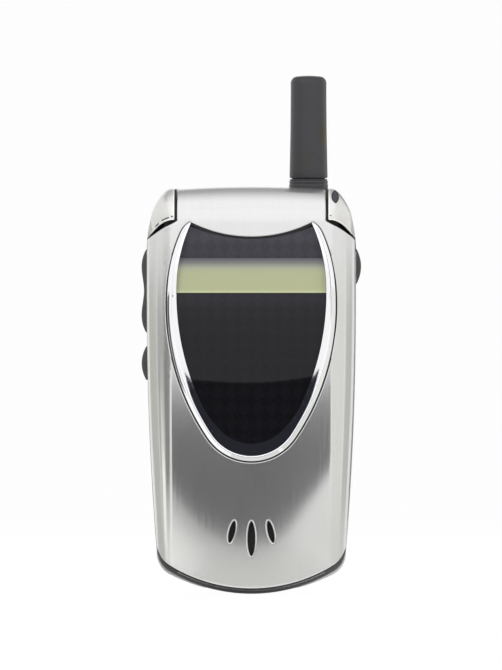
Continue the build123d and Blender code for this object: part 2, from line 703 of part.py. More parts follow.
LID_PARTING = [
    (-14, -1), (LID_SPLIT_Y, -1), (LID_SPLIT_Y, 73.6), (HINGE_Y, 73.6), (HINGE_Y, HINGE_Z),
    (4, HINGE_Z), (4, 90), (-14, 90), (-14, -1),
]
SLOT_TILT = 13.0
LID_SCREWS = [(-15.6, 15.0), (15.6, 15.0), (-18.8, 70.0), (18.8, 70.0)]
LID_BOSS_R = 1.3


def sound_slots():
    """Three pointed slots that fan out downwards."""
    middle = Pos(0, 11.75) * pointed_ellipse(1.5, 7.3)
    side = pointed_ellipse(1.1, 4.7)
    left = Pos(-4.1, 13.2) * Rot(0, 0, -SLOT_TILT) * side
    right = Pos(4.1, 13.2) * Rot(0, 0, SLOT_TILT) * side
    return middle + left + right


def barrel_room():
    """The hollow of the barrel, and the bores for the cartridge and the pin."""
    return axle(5.3, -8, 8) + axle(3.05, -BARREL_HALF - 1, -8) + axle(2.0, 8, BARREL_HALF + 1)


def flip_cover(lid):
    """The brushed front shell with the barrel, the window, the slots and screw bosses."""
    cover = lid & bar(make_face(Polyline(*LID_PARTING).edges()), -25, 25)
    hollow = lid_slug(LID_WALL, LID_HOLLOW_TOP)
    cover -= hollow
    for x, z in LID_SCREWS:
        cover += stud(LID_BOSS_R, x, z, -11, LID_SPLIT_Y) & hollow
        cover -= stud(0.55, x, z, -9.5, LID_SPLIT_Y)
    cover -= slab(window_face(RING_BOTTOM_Z, RING_ARCS, 0.05), -14, -8)
    cover -= slab(sound_slots(), -14, -8)
    return cover - barrel_room()


INNER_WINDOW = (0, 48.0, 33.0, 31.0)  # x, z, width and height of the inner lens


def rounded(x, z, width, height, radius):
    return Pos(x, z) * RectangleRounded(width, height, radius)


def flip_inner_housing(lid):
    """The lid's inner shell, with the display window and the earpiece slots."""
    inner = lid - bar(make_face(Polyline(*LID_PARTING).edges()), -25, 25)
    inner -= lid_slug(1.9, 71.0) & block(-25, 25, -12, -4.3, 0, 71)
    x, z, width, height = INNER_WINDOW
    inner -= slab(rounded(x, z, width + 0.1, height + 0.1, 3), -3.95, 0)
    inner -= slab(rounded(x, z, width - 5, height - 6, 1), -6, 0)
    for offset in (-3, 0, 3):
        inner -= slab(Pos(offset, 10.8) * SlotOverall(3.4, 1.0, 90), -6, 0)
    for sx, sz in LID_SCREWS:
        inner += stud(1.6, sx, sz, LID_SPLIT_Y, -3.9)
        inner -= stud(0.6, sx, sz, -7, 0) + stud(1.35, sx, sz, -4.1, 0)
    return inner - barrel_room()


LEDGE_Y = (-10.1, -9.6)  # the bezel's flange, behind the lens and the cover's wall
SLOPE_FOOT_Y = -11.45  # where the crest's inner slope meets the lens's edge


def lens_bezel():
    """The chrome horseshoe round the lens: a raised crest that slopes in to the lens."""
    lens = open_window_face(1)
    ring = slab(window_face(RING_BOTTOM_Z, RING_ARCS), CREST_Y, LEDGE_Y[0])
    ring -= loft(
        [Plane.XZ.offset(-CREST_Y + 0.01) * open_window_face(0.38), Plane.XZ.offset(-SLOPE_FOOT_Y) * lens]
    )
    ring -= slab(lens, SLOPE_FOOT_Y, LEDGE_Y[0])
    opening = window_face(LENS_BOTTOM_Z, LENS_ARCS, -0.7)
    seat = slab(window_face(RING_BOTTOM_Z, RING_ARCS) - opening, *LEDGE_Y) & block(-25, 25, -12, 0, 20, 62)
    lip = slab(window_face(RING_BOTTOM_Z, RING_ARCS, 0.6) - opening, *LEDGE_Y)
    return ring + seat + (lip & block(-25, 25, -12, 0, 20, 44))


def outer_lens():
    """The dark, slightly domed window of the outer display."""
    lens = slab(window_face(LENS_BOTTOM_Z, LENS_ARCS, -0.03), -11.8, LEDGE_Y[0] - 0.03)
    dome = Pos(0, -11.7 + 300, 55) * Sphere(300)
    return lens & dome


def outer_display():
    return block(-15.2, 15.2, LEDGE_Y[1] + 0.05, -8.2, 62.2, 72.0)


def inner_lens():
    x, z, width, height = INNER_WINDOW
    return slab(rounded(x, z, width, height, 2.95), -3.9, -3.4)


def inner_display():
    """The main display: a glass cell in a thin frame."""
    x, z, width, height = INNER_WINDOW
    cell = slab(rounded(x, z, width - 1, height - 1.5, 1), -6.5, -4.35)
    return cell - slab(rounded(x, z, width - 4.4, height - 5.4, 0.6), -4.6, 0)


def flip_board():
    board = slab(rounded(0, 46.5, 33, 47, 2), -7.5, -6.8)
    for x, z in LID_SCREWS:
        board -= stud(1.6, x, z, -8, -6)
    return board


def flip_screws():
    solids = []
    for x, z in LID_SCREWS:
        head = stud(1.2, x, z, -4.05, -3.45)
        shank = stud(0.5, x, z, -8.5, -4.05)
        cross = Pos(x, z) * (Rectangle(0.35, 1.4) + Rectangle(1.4, 0.35))
        solids.append(head + shank - slab(cross, -3.75, -3.45))
    return Compound(children=solids)


def earpiece():
    return fillet(stud(5.0, 0, 10.8, -6.6, -4.35).faces().sort_by(Axis.Y)[0].edges(), 0.5)


def ringer():
    """The alert loudspeaker behind the slots, with its magnet cup."""
    return stud(6.0, 0, 12.6, -9.6, -8.2) + stud(4.0, 0, 12.6, -8.2, -7.0)


def ringer_mesh():
    return slab(Pos(0, 12.2) * RectangleRounded(12.4, 9.4, 4), -9.95, -9.7)


def flip_magnet():
    return block(9.0, 13.0, -6.4, -4.4, 20, 23)


def flip_bumpers():
    pads = [stud(1.2, s * 15.2, 9.6, -3.9, -3.08) for s in (-1, 1)]
    return Compound(children=pads)


def hinge_cartridge():
    """The spring and cam can that holds the lid open or shut."""
    can = axle(3.0, -15.5, -8.2)
    return can - axle(1.3, -16, -9.5)


def hinge_flex():
    """The flat cable, wound once round the hinge axis inside the barrel."""
    coil = axle(4.3, -4, 4) - axle(4.05, -5, 5)
    return coil - block(-5, 5, HINGE_Y - 1.5, HINGE_Y + 1.5, HINGE_Z - 6, HINGE_Z)


# ---- Write every sub-part -----------------------------------------------------------------------------


def main():
    ear_light = both_sides(ear()) & light_bar()
    lid = whole_lid()
    bumper_seats = flip_bumpers()
    nodes = {
        "back_housing": back_housing(),
        "keypad_housing": keypad_housing(),
        "battery_door": battery_door(),
        "battery_latch": battery_latch(),
        "battery_pack": battery_pack(),
        "battery_contacts": battery_contacts(),
        "main_board": main_board(),
        "shield_cans": shield_cans(),
        "dome_sheet": dome_sheet(),
        "keypad_mat": keypad_mat(),
        "scroll_rocker": scroll_rocker(),
        "volume_rocker": side_key(-1, ROCKER_Z, (68.6, 59.6), 20.1),
        "smart_key": side_key(-1, SMART_Z, (48.75,), 20.45),
        "voice_key": side_key(1, VOICE_Z, (69.2,), 20.45),
        "side_switches": side_switches(),
        "microphone": microphone(),
        "accessory_connector": accessory_connector(),
        "headset_jack": headset_jack(),
        "antenna_head": antenna_head(),
        "antenna_whip": antenna_whip(),
        "antenna_bushing": antenna_bushing(),
        "status_light": ear_light,
        "vibration_motor": vibration_motor(),
        "motor_weight": motor_weight(),
        "housing_screws": housing_screws(),
        "rf_plug": rf_plug(),
        "hinge_pins": hinge_pins(),
        "flip_cover": flip_cover(lid),
        "flip_inner_housing": flip_inner_housing(lid) - bumper_seats,
        "lens_bezel": lens_bezel(),
        "outer_lens": outer_lens(),
        "outer_display": outer_display(),
        "inner_lens": inner_lens(),
        "inner_display": inner_display(),
        "flip_board": flip_board(),
        "earpiece": earpiece(),
        "ringer": ringer(),
        "ringer_mesh": ringer_mesh(),
        "flip_magnet": flip_magnet(),
        "flip_bumpers": bumper_seats,
        "flip_screws": flip_screws(),
        "hinge_cartridge": hinge_cartridge(),
        "hinge_flex": hinge_flex(),
    }
    for name, x, z, width, height in key_table():
        nodes[name] = key(x, z, width, height)
    for name, solid in nodes.items():
        export_step(solid, "parts/" + name + ".step")


main()
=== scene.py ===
import json
import math

import bmesh
import bpy
import numpy as np
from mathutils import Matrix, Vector
from mathutils.bvhtree import BVHTree
from mathutils.geometry import delaunay_2d_cdt


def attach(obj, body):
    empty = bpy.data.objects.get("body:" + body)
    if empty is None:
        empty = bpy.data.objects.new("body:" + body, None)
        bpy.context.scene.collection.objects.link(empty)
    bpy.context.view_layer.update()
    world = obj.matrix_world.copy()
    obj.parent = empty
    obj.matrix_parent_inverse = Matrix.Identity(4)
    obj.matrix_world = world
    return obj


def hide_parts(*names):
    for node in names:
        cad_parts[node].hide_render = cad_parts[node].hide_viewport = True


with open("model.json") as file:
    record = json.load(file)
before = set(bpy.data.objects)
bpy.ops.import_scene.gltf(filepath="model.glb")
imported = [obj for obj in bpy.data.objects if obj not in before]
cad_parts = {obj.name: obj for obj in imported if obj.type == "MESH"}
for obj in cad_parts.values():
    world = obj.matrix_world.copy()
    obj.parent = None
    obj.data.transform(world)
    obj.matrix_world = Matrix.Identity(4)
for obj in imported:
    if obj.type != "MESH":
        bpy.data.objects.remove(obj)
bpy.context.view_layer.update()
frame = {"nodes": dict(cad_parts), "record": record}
nodes = frame["nodes"]
body_of_node = {n: b for b, ns in frame["record"]["behaviour"]["bodies"].items() for n in ns}

# ---- Studio ---------------------------------------------------------------------------
# A pale table and backdrop, one broad soft lamp from the upper left and a weaker one from
# the right. Dark and grey boards that only reflections see give the metal its tones.
scene = bpy.context.scene
scene.view_settings.view_transform = "Standard"

LID_FACE = -0.0118
CAMERA_DISTANCE = 4.0  # from the lid's face
SENSOR_HEIGHT = 36
PICTURE_HEIGHT = 0.1412
PICTURE_MIDDLE = 0.0547
camera = bpy.data.cameras.new("camera")
camera.sensor_fit = "VERTICAL"
camera.sensor_height = SENSOR_HEIGHT
camera.lens = SENSOR_HEIGHT * CAMERA_DISTANCE / PICTURE_HEIGHT
camera.clip_end = 60
camera_object = bpy.data.objects.new("camera", camera)
camera_object.location = (-0.00008, LID_FACE - CAMERA_DISTANCE, PICTURE_MIDDLE)
camera_object.rotation_euler = (math.pi / 2, 0, 0)
scene.collection.objects.link(camera_object)
scene.camera = camera_object

world = bpy.data.worlds.new("studio_air")
scene.world = world
world.use_nodes = True
air = world.node_tree
air.nodes.clear()


def arithmetic(tree, operation, first, second=None):
    """The result of a Math node, whose terms are numbers or sockets."""
    node = tree.nodes.new("ShaderNodeMath")
    node.operation = operation
    for socket, value in zip(node.inputs, (first, second)):
        if isinstance(value, (int, float)):
            socket.default_value = value
        elif value is not None:
            tree.links.new(value, socket)
    return node.outputs[0]


def object_place(tree):
    """X, Y and Z in the piece's own coordinates, in metres."""
    where = tree.nodes.new("ShaderNodeTexCoord")
    parts = tree.nodes.new("ShaderNodeSeparateXYZ")
    tree.links.new(where.outputs["Object"], parts.inputs[0])
    return parts.outputs


def between_values(tree, factor, low, high, start=0.0, end=1.0):
    """A number that goes from low to high as factor goes from start to end."""
    ramp = tree.nodes.new("ShaderNodeMapRange")
    for name, value in (("From Min", start), ("From Max", end), ("To Min", low), ("To Max", high)):
        ramp.inputs[name].default_value = value
    tree.links.new(factor, ramp.inputs["Value"])
    return ramp.outputs[0]


def seen_share(tree):
    """1 for what the camera, a reflection or clear plastic sees directly, otherwise 0."""
    path = tree.nodes.new("ShaderNodeLightPath").outputs
    seen = arithmetic(tree, "MAXIMUM", path["Is Camera Ray"], path["Is Glossy Ray"])
    return arithmetic(tree, "MAXIMUM", seen, path["Is Transmission Ray"])


# the air is white where it is seen, and weaker as a light
choose = air.nodes.new("ShaderNodeMixShader")
air.links.new(seen_share(air), choose.inputs[0])
for socket, strength in ((1, 0.55), (2, 1.0)):
    background = air.nodes.new("ShaderNodeBackground")
    background.inputs["Color"].default_value = (1, 1, 1, 1)
    background.inputs["Strength"].default_value = strength
    air.links.new(background.outputs[0], choose.inputs[socket])
sky = air.nodes.new("ShaderNodeOutputWorld")
air.links.new(choose.outputs[0], sky.inputs["Surface"])


def stage_mesh(name, corners, quads):
    """A mesh of the studio, which isn't part of the phone."""
    mesh = bpy.data.meshes.new(name)
    mesh.from_pydata(corners, [], quads)
    thing = bpy.data.objects.new(name, mesh)
    scene.collection.objects.link(thing)
    return thing


REACH = 12  # how far the table goes each way, and how high the backdrop stands
table = stage_mesh(
    "table",
    [(-REACH, -REACH, 0), (REACH, -REACH, 0), (REACH, REACH, 0), (-REACH, REACH, 0),
     (REACH, REACH, REACH), (-REACH, REACH, REACH)],
    [(0, 1, 2, 3), (3, 2, 4, 5)],
)
paper = bpy.data.materials.new("white_paper")
paper.use_nodes = True
tree = paper.node_tree
shade = tree.nodes["Principled BSDF"]
shade.inputs["Base Color"].default_value = (0.9, 0.9, 0.9, 1)
shade.inputs["Roughness"].default_value = 0.9
glow = tree.nodes.new("ShaderNodeEmission")
glow.inputs["Strength"].default_value = 1.0
blend_paper = tree.nodes.new("ShaderNodeMixShader")
tree.links.new(arithmetic(tree, "MULTIPLY", seen_share(tree), 0.97), blend_paper.inputs[0])
tree.links.new(shade.outputs[0], blend_paper.inputs[1])
tree.links.new(glow.outputs[0], blend_paper.inputs[2])
tree.links.new(blend_paper.outputs[0], tree.nodes["Material Output"].inputs["Surface"])
table.data.materials.append(paper)


UP, DOWN = (0, 0, 1), (0, 0, -1)
SQUARE = ((-1, -1), (1, -1), (1, 1), (-1, 1))


def board(name, middle, width, height, tone, blue, facing=None):
    """A flat board that only reflections see; blue tints its tone. It stands facing the phone's
    nearer front edge, unless facing gives another direction."""
    centre = Vector(middle)
    edge = Vector((math.copysign(0.018, centre.x), -0.011, centre.z))
    out = Vector(facing or edge - centre).normalized()
    side = out.cross(Vector(UP))
    if side.length < 0.1:
        side = Vector((1, 0, 0))
    side.normalize()
    up = side.cross(out).normalized()
    corners = [centre + side * sx * width / 2 + up * sz * height / 2 for sx, sz in SQUARE]
    card = stage_mesh(name, corners, [(0, 1, 2, 3)])
    for ray in ("camera", "diffuse", "transmission", "shadow", "volume_scatter"):
        setattr(card, "visible_" + ray, False)
    coat = bpy.data.materials.new(name)
    coat.use_nodes = True
    coat.node_tree.nodes.clear()
    face = coat.node_tree.nodes.new("ShaderNodeEmission")
    face.inputs["Color"].default_value = (1, 1, blue, 1)
    face.inputs["Strength"].default_value = tone
    out_node = coat.node_tree.nodes.new("ShaderNodeOutputMaterial")
    coat.node_tree.links.new(face.outputs[0], out_node.inputs["Surface"])
    card.data.materials.append(coat)
    return card


def shaped_board(name, outline, y, tone, blue):
    """A board drawn in x and z, in mm, that stands before the phone."""
    card = board(name, (0, y, 0), 1, 1, tone, blue)
    card.data.clear_geometry()
    corners = [(x / 1000, y, z / 1000) for x, z in outline]
    card.data.from_pydata(corners, [], [tuple(range(len(outline)))])


def fade(card, axis, start, end, far_tone):
    """Lets a board's tone change along one of its axes, between two places in metres."""
    tree = card.data.materials[0].node_tree
    strength = next(n for n in tree.nodes if n.type == "EMISSION").inputs["Strength"]
    tone = between_values(tree, object_place(tree)[axis], strength.default_value, far_tone, start, end)
    tone.node.interpolation_type = "SMOOTHSTEP"
    tree.links.new(tone, strength)


shaped_board(
    "dark_board",
    [(-40, 45), (-40, 26), (-38, 9), (-24, 2.6), (-10, 1.6), (0, 1.2), (8, 1.8), (15, 3.8), (18, 11),
     (26, 19), (34, 29), (38, 46), (24, 45.4), (12, 44), (4, 43.4), (-6, 43.4), (-24, 44.3)],
    -0.1, 0.02, 1.35,
)
board("left_board", (-0.136, -0.133, 0.009), 0.066, 0.118, 0.12, 0.98)
board("left_high_board", (-0.1745, -0.0774, 0.053), 0.069, 0.026, 0.36, 0.98)
strip = board("left_strip", (-0.168, -0.091, 0.003), 0.034, 0.07, 1.5, 0.88)
fade(strip, "Z", 0.016, 0.032, 0.8)
board("left_line", (-0.1814, -0.0579, 0.005), 0.02, 0.12, 0.25, 0.98)
board("left_grey_board", (-0.215, 0.052, 0.03), 0.2, 0.08, 0.56, 0.93)
board("left_floor", (-0.13, 0.06, 0.0004), 0.19, 0.2, 0.6, 0.95, UP)
board("left_front_floor", (-0.11, -0.1, 0.0004), 0.17, 0.1, 1.14, 0.97, UP)
board("right_pale_board", (0.13, -0.11, 0.03), 0.14, 0.08, 0.86, 0.96)
board("right_grey_board", (0.205, 0.025, 0.03), 0.14, 0.08, 0.58, 0.96)
board("right_floor", (0.13, -0.02, 0.0004), 0.2, 0.3, 0.78, 0.96, UP)
board("front_board", (0, -0.9, 0.42), 1.2, 0.72, 1.22, 1.03, (0, 0.9, -0.36))
ceiling = board("ceiling_board", (0, 0.175, 0.68), 1.6, 1.65, 1.2, 1.03, DOWN)
fade(ceiling, "Y", -0.3, 0.45, 0.42)
board("right_back_board", (0.15, 0.47, 0.06), 0.25, 0.5, 0.15, 1.03, (-0.13, -0.47, 0))
board("low_board", (0.004, -0.058, 0.0004), 0.042, 0.08, 0.76, 0.97, UP)


def lamp(name, place, size, watts):
    """A square soft lamp that points at the phone's middle."""
    light = bpy.data.lights.new(name, "AREA")
    light.shape = "SQUARE"
    light.size = size
    light.energy = watts
    holder = bpy.data.objects.new(name, light)
    holder.location = place
    holder.rotation_euler = (Vector((0, 0, 0.05)) - Vector(place)).to_track_quat("-Z", "Y").to_euler()
    holder.visible_glossy = False
    scene.collection.objects.link(holder)


lamp("key_lamp", (-0.55, -0.9, 0.9), 0.7, 9)
lamp("fill_lamp", (0.8, -0.7, 0.4), 0.8, 4)
lamp("back_lamp", (0.3, 0.9, 0.8), 0.7, 6)

# ---- Lid cover ------------------------------------------------------------------------
# Drawn aluminium, brushed along the phone: a crowned face between two upright creases, wings
# that roll back to the sides, and a brow that rolls over into the hinge barrel. Lengths in mm.
HINGE_Y, HINGE_Z = -4.95, 79.3
FACE_Y = -11.95
CREASE = 16.85
CROWN = 0.25
LID_INSET = 0.15  # the lid is this much narrower than the housing on each side
WING = 7.0  # length of the wing's curve, from the crease to the side
BARREL_HALF = 15.7
BROW_Z, BROW_R, BARREL_R = 79.0, 7.0, 6.7
LID_SPLIT_Y = -5.7
ROLL_END = BROW_Z + (BROW_R + BARREL_R) * math.pi / 2


def half_width(z):
    """Half the housing's width, which narrows below z = 61."""
    return 22.1 - np.maximum(0, 61.0 - z) ** 2 / 1290


def tangent_arcs(start, arcs, per_arc=60):
    """Points along arcs that follow on from each other, first heading to the right."""
    x, z, heading = start[0], start[1], 0.0
    points = [(x, z)]
    for radius, turn in arcs:
        cx, cz = x - radius * math.sin(heading), z + radius * math.cos(heading)
        for k in range(1, per_arc + 1):
            a = heading + math.radians(turn) * k / per_arc
            points.append((cx + radius * math.sin(a), cz - radius * math.cos(a)))
        heading += math.radians(turn)
        x, z = points[-1]
    return np.array(points)


def hollow_top(corner, low, count=36):
    """Points of the window's hollow top edge, from one corner to the middle."""
    rise = corner[1] - low
    radius = (corner[0] ** 2 + rise**2) / (2 * rise)
    x = np.linspace(corner[0], 0, count)[1:]
    return np.stack([x, low + radius - np.sqrt(radius**2 - x**2)], 1)


def both_halves(right):
    """A closed loop from its right half, which runs from the bottom middle to the top middle."""
    left = right[::-1][1:-1] * (-1, 1)
    return np.concatenate([right, left])


def horseshoe(side, low, spacing):
    """A closed loop from the right side of a rounded form and its hollow top."""
    return both_halves(resampled(np.concatenate([side, hollow_top(side[-1], low)]), spacing))


def resampled(points, spacing):
    """The same curve with points at an even spacing."""
    lengths = np.concatenate([[0], np.cumsum(np.linalg.norm(np.diff(points, axis=0), axis=1))])
    places = np.linspace(0, lengths[-1], int(lengths[-1] / spacing) + 2)
    return np.stack([np.interp(places, lengths, points[:, k]) for k in range(points.shape[1])], 1)


RING_ARCS = [(11.4, 55.9), (50.2, 40.4), (32.6, 18.0), (5.0, 35.7)]
LENS_ARCS = [(8.9, 42.2), (19.9, 22.5), (54.4, 27.8), (33.1, 22.3)]
ring_side = tangent_arcs((0, 27.8), RING_ARCS)
lens_side = tangent_arcs((0, 31.7), LENS_ARCS)

WING_T = np.linspace(0, 1, 400)
WING_X = 1.35 * WING_T * (1 - WING_T) ** 2 + 3 * WING_T**2 * (1 - WING_T) + WING_T**3


def recess(x, z):
    """How far the face falls back towards the lid's lower edge and corners: a parabola that
    runs on as a straight slope."""
    q = 18 - (z - 0.045 * np.minimum(np.abs(x), CREASE) ** 2)
    q = np.clip(q, 0, None)
    return np.where(q < 9, q**2 / 360, 0.225 + (q - 9) / 20)


def lid_point(a, s):
    """Where a point of the unrolled cover lies: a runs sideways and s upwards, over the brow."""
    a, s = np.asarray(a, float), np.asarray(s, float)
    z = np.minimum(s, BROW_Z)
    width = half_width(z) - LID_INSET - CREASE
    depth = width / 5.1
    t = np.clip((np.abs(a) - CREASE) / WING, 0, 1)
    x = np.where(t > 0, np.sign(a) * (CREASE + width * np.interp(t, WING_T, WING_X)), a)
    y0 = FACE_Y + recess(a, z)
    flat = y0 + CROWN * np.minimum(np.abs(a) / CREASE, 1) ** 2
    # a cubic that leaves the face at a slant and meets the side head on
    wing = (
        (y0 + CROWN) * (1 - t) ** 3 + (y0 + CROWN + 0.6 * depth) * 3 * t * (1 - t) ** 2
        + (y0 + 2.6 * depth) * 3 * t**2 * (1 - t) - 6.0 * t**3
    )
    y = np.where(t > 0, wing, flat)
    # over the brow and round the back of the barrel
    turn = np.clip((s - BROW_Z) / BROW_R, 0, math.pi / 2)
    past = np.clip((s - BROW_Z - BROW_R * math.pi / 2) / BARREL_R, 0, math.pi / 2)
    share = (np.clip(a, -BARREL_HALF, BARREL_HALF) / BARREL_HALF) ** 2
    rolled = s > BROW_Z
    front_r, top_r = BROW_R - 0.22 * share, BROW_R - 0.55 * share
    y = np.where(rolled, HINGE_Y - front_r * np.cos(turn), y)
    z = np.where(rolled, BROW_Z + top_r * np.sin(turn), z)
    back = past > 0
    y = np.where(back, HINGE_Y + (BARREL_R - 0.22 * share) * np.sin(past), y)
    z = np.where(back, HINGE_Z + (BARREL_R - 0.55 * share) * np.cos(past), z)
    return np.stack([x, y, z], -1)


def unrolled(points):
    """The unrolled place of points drawn as seen from the front."""
    points = np.array(points, float)
    x, z = points[:, 0], points[:, 1]
    width = half_width(z) - LID_INSET - CREASE
    u = np.clip((np.abs(x) - CREASE) / width, 0, 1)
    a = np.where(np.abs(x) > CREASE, np.sign(x) * (CREASE + WING * np.interp(u, WING_X, WING_T)), x)
    return np.stack([a, z], 1)


def nearest(points, starts, ends, block=2000):
    """The distance from each point to the nearest of these segments."""
    along = ends - starts
    length2 = np.maximum((along**2).sum(1), 1e-12)
    best = np.empty(len(points))
    for i in range(0, len(points), block):
        p = points[i : i + block, None, :]
        t = np.clip(((p - starts) * along).sum(2) / length2, 0, 1)
        best[i : i + block] = np.sqrt(((starts + along * t[..., None] - p) ** 2).sum(2)).min(1)
    return best


def inside(points, loop):
    """Which points lie in a closed loop."""
    result = np.zeros(len(points), bool)
    x, z = points[:, 0], points[:, 1]
    for (x0, z0), (x1, z1) in zip(loop, np.roll(loop, -1, 0)):
        if z0 != z1:
            crosses = (z0 > z) != (z1 > z)
            result ^= crosses & (x < (x1 - x0) * (z - z0) / (z1 - z0) + x0)
    return result


def new_piece(name, verts, faces, material, sharp=35):
    """A piece from points in mm, smooth except where its faces meet at a sharp angle."""
    mesh = bpy.data.meshes.new(name)
    mesh.from_pydata([tuple(v) for v in np.asarray(verts) / 1000], [], faces)
    mesh.materials.append(material)
    mesh.shade_smooth()
    mesh.set_sharp_from_angle(angle=math.radians(sharp))
    piece = bpy.data.objects.new(name, mesh)
    scene.collection.objects.link(piece)
    return piece


def skin(name, material, outline, holes, step, place, back, rounding, lines=(), extra=()):
    """A curved plate. outline and holes are loops in the flat; place gives a flat point's place
    in space and back its place on the rear side. rounding holds a radius for each segment of
    each loop, 0 where the edge isn't rounded."""
    loops = [outline] + holes
    starts = np.concatenate(loops)
    ends = np.concatenate([np.roll(loop, -1, 0) for loop in loops])
    radii = np.concatenate(rounding)
    points = [starts]
    for loop, radius in zip(loops, rounding):
        tangent = np.roll(loop, -1, 0) - np.roll(loop, 1, 0)
        normal = np.stack([-tangent[:, 1], tangent[:, 0]], 1)
        normal /= np.linalg.norm(normal, axis=1)[:, None]
        area = (loop[:, 0] * np.roll(loop[:, 1], -1) - loop[:, 1] * np.roll(loop[:, 0], -1)).sum()
        inward = normal * np.sign(area) * (1 if loop is loops[0] else -1)
        ring = np.maximum(radius, 0.12)[:, None]
        for angle in (20, 38, 54, 68, 80, 90):
            points.append(loop + inward * ring * (1 - math.cos(math.radians(angle))))
        for beyond in (0.05, 0.2, 0.45):
            points.append(loop + inward * (ring + beyond))
    low, high = loops[0].min(0), loops[0].max(0)
    xs, zs = np.arange(low[0], high[0], step), np.arange(low[1], high[1], step)
    grid = np.stack(np.meshgrid(xs, zs), -1).reshape(-1, 2)
    if len(extra):
        grid = np.concatenate([grid, np.asarray(extra)])
    far = nearest(grid, starts, ends) > 0.55 + radii.max()
    points.append(grid[far])
    edges, count = [], 0
    for loop in loops:
        edges += [(count + k, count + (k + 1) % len(loop)) for k in range(len(loop))]
        count += len(loop)
    flat = np.concatenate(points)
    for line in lines:
        edges += [(len(flat) + k, len(flat) + k + 1) for k in range(len(line) - 1)]
        flat = np.concatenate([flat, line])
    made = delaunay_2d_cdt([Vector(p) for p in flat], edges, [], 0, 1e-4)
    flat = np.array([tuple(v) for v in made[0]])
    triangles = np.array(made[2])
    middle = flat[triangles].mean(1)
    keep = inside(middle, loops[0])
    for hole in loops[1:]:
        keep &= ~inside(middle, hole)
    triangles = triangles[keep]
    used = np.unique(triangles)
    renumber = np.full(len(flat), -1)
    renumber[used] = np.arange(len(used))
    flat, triangles = flat[used], renumber[triangles]

    def tilt(p):
        e = 0.02
        du = place(p[:, 0] + e, p[:, 1]) - place(p[:, 0] - e, p[:, 1])
        dv = place(p[:, 0], p[:, 1] + e) - place(p[:, 0], p[:, 1] - e)
        n = np.cross(du, dv)
        return n / np.maximum(np.linalg.norm(n, axis=1), 1e-9)[:, None]

    out = tilt(flat)
    drop = np.zeros(len(flat))
    for radius in np.unique(radii[radii > 0]):
        chosen = radii == radius
        distance = nearest(flat, starts[chosen], ends[chosen])
        near = np.clip(radius - distance, 0, radius)
        drop = np.maximum(drop, radius - np.sqrt(np.maximum(radius**2 - near**2, 0)))
    front = place(flat[:, 0], flat[:, 1]) - out * drop[:, None]
    pairs = np.concatenate([triangles[:, [0, 1]], triangles[:, [1, 2]], triangles[:, [2, 0]]])
    known = {tuple(p) for p in pairs}
    rim = [p for p in known if (p[1], p[0]) not in known]
    on_rim = np.zeros(len(flat), bool)
    on_rim[[i for p in rim for i in p]] = True
    rear = back(flat, place(flat[:, 0], flat[:, 1]), out, on_rim)
    n = len(flat)
    faces = [tuple(t) for t in triangles] + [tuple(t[::-1] + n) for t in triangles]
    faces += [(j, i, i + n, j + n) for i, j in rim]
    return new_piece(name, np.concatenate([front, rear]), faces, material)


def finish_of(name, colour, rough, metal=0.0, **others):
    """A material with its plain values set, and its node tree."""
    made = bpy.data.materials.new(name)
    made.use_nodes = True
    shader = made.node_tree.nodes["Principled BSDF"]
    shader.inputs["Base Color"].default_value = (*colour, 1)
    shader.inputs["Roughness"].default_value = rough
    shader.inputs["Metallic"].default_value = metal
    for key, value in others.items():
        shader.inputs[key.replace("_", " ")].default_value = value
    return made, made.node_tree, shader


def object_noise(tree, scale, size, detail=2.0, rough=0.5):
    """Noise in the piece's own coordinates, stretched by scale along x, y and z."""
    where = tree.nodes.new("ShaderNodeTexCoord")
    stretch = tree.nodes.new("ShaderNodeMapping")
    stretch.inputs["Scale"].default_value = scale
    noise = tree.nodes.new("ShaderNodeTexNoise")
    noise.inputs["Scale"].default_value = size
    noise.inputs["Detail"].default_value = detail
    noise.inputs["Roughness"].default_value = rough
    tree.links.new(where.outputs["Object"], stretch.inputs["Vector"])
    tree.links.new(stretch.outputs[0], noise.inputs["Vector"])
    return noise.outputs["Fac"]


def between_colours(tree, factor, low, high):
    """A mix of two colours, each given as numbers or as a socket."""
    mix = tree.nodes.new("ShaderNodeMix")
    mix.data_type = "RGBA"
    tree.links.new(factor, mix.inputs["Factor"])
    for socket, colour in (("A", low), ("B", high)):
        if isinstance(colour, tuple):
            mix.inputs[socket].default_value = (*colour, 1)
        else:
            tree.links.new(colour, mix.inputs[socket])
    return mix.outputs["Result"]


def colour_by(tree, shader, factor, low, high):
    """Lets the base colour go from low to high with factor."""
    tree.links.new(between_colours(tree, factor, low, high), shader.inputs["Base Color"])


def add_bump(tree, shader, height, strength, distance):
    """Fine relief in the shading alone."""
    bump = tree.nodes.new("ShaderNodeBump")
    bump.inputs["Strength"].default_value = strength
    bump.inputs["Distance"].default_value = distance
    tree.links.new(height, bump.inputs["Height"])
    tree.links.new(bump.outputs[0], shader.inputs["Normal"])


brushed, tree, shader = finish_of("brushed_aluminium", (0.70, 0.70, 0.695), 0.2, 0.89)
grain = object_noise(tree, (1, 0.02, 0.02), 5200, 3, 0.7)
tree.links.new(between_values(tree, grain, 0.17, 0.21, 0.3, 0.7), shader.inputs["Roughness"])
grain_share = between_values(tree, grain, 0, 1, 0.25, 0.75)
colour_by(tree, shader, grain_share, (0.69, 0.69, 0.68), (0.735, 0.735, 0.725))
add_bump(tree, shader, grain, 0.04, 0.00001)


def smooth_through(points, per_span=10):
    """A smooth curve through points, worked out span by span."""
    points = np.array(points, float)
    slopes = np.gradient(points, axis=0)
    curve = []
    for k in range(len(points) - 1):
        t = np.linspace(0, 1, per_span, endpoint=False)[:, None]
        curve.append(
            (2 * t**3 - 3 * t**2 + 1) * points[k] + (t**3 - 2 * t**2 + t) * slopes[k]
            + (-2 * t**3 + 3 * t**2) * points[k + 1] + (t**3 - t**2) * slopes[k + 1]
        )
    return np.concatenate(curve + [points[-1:]])


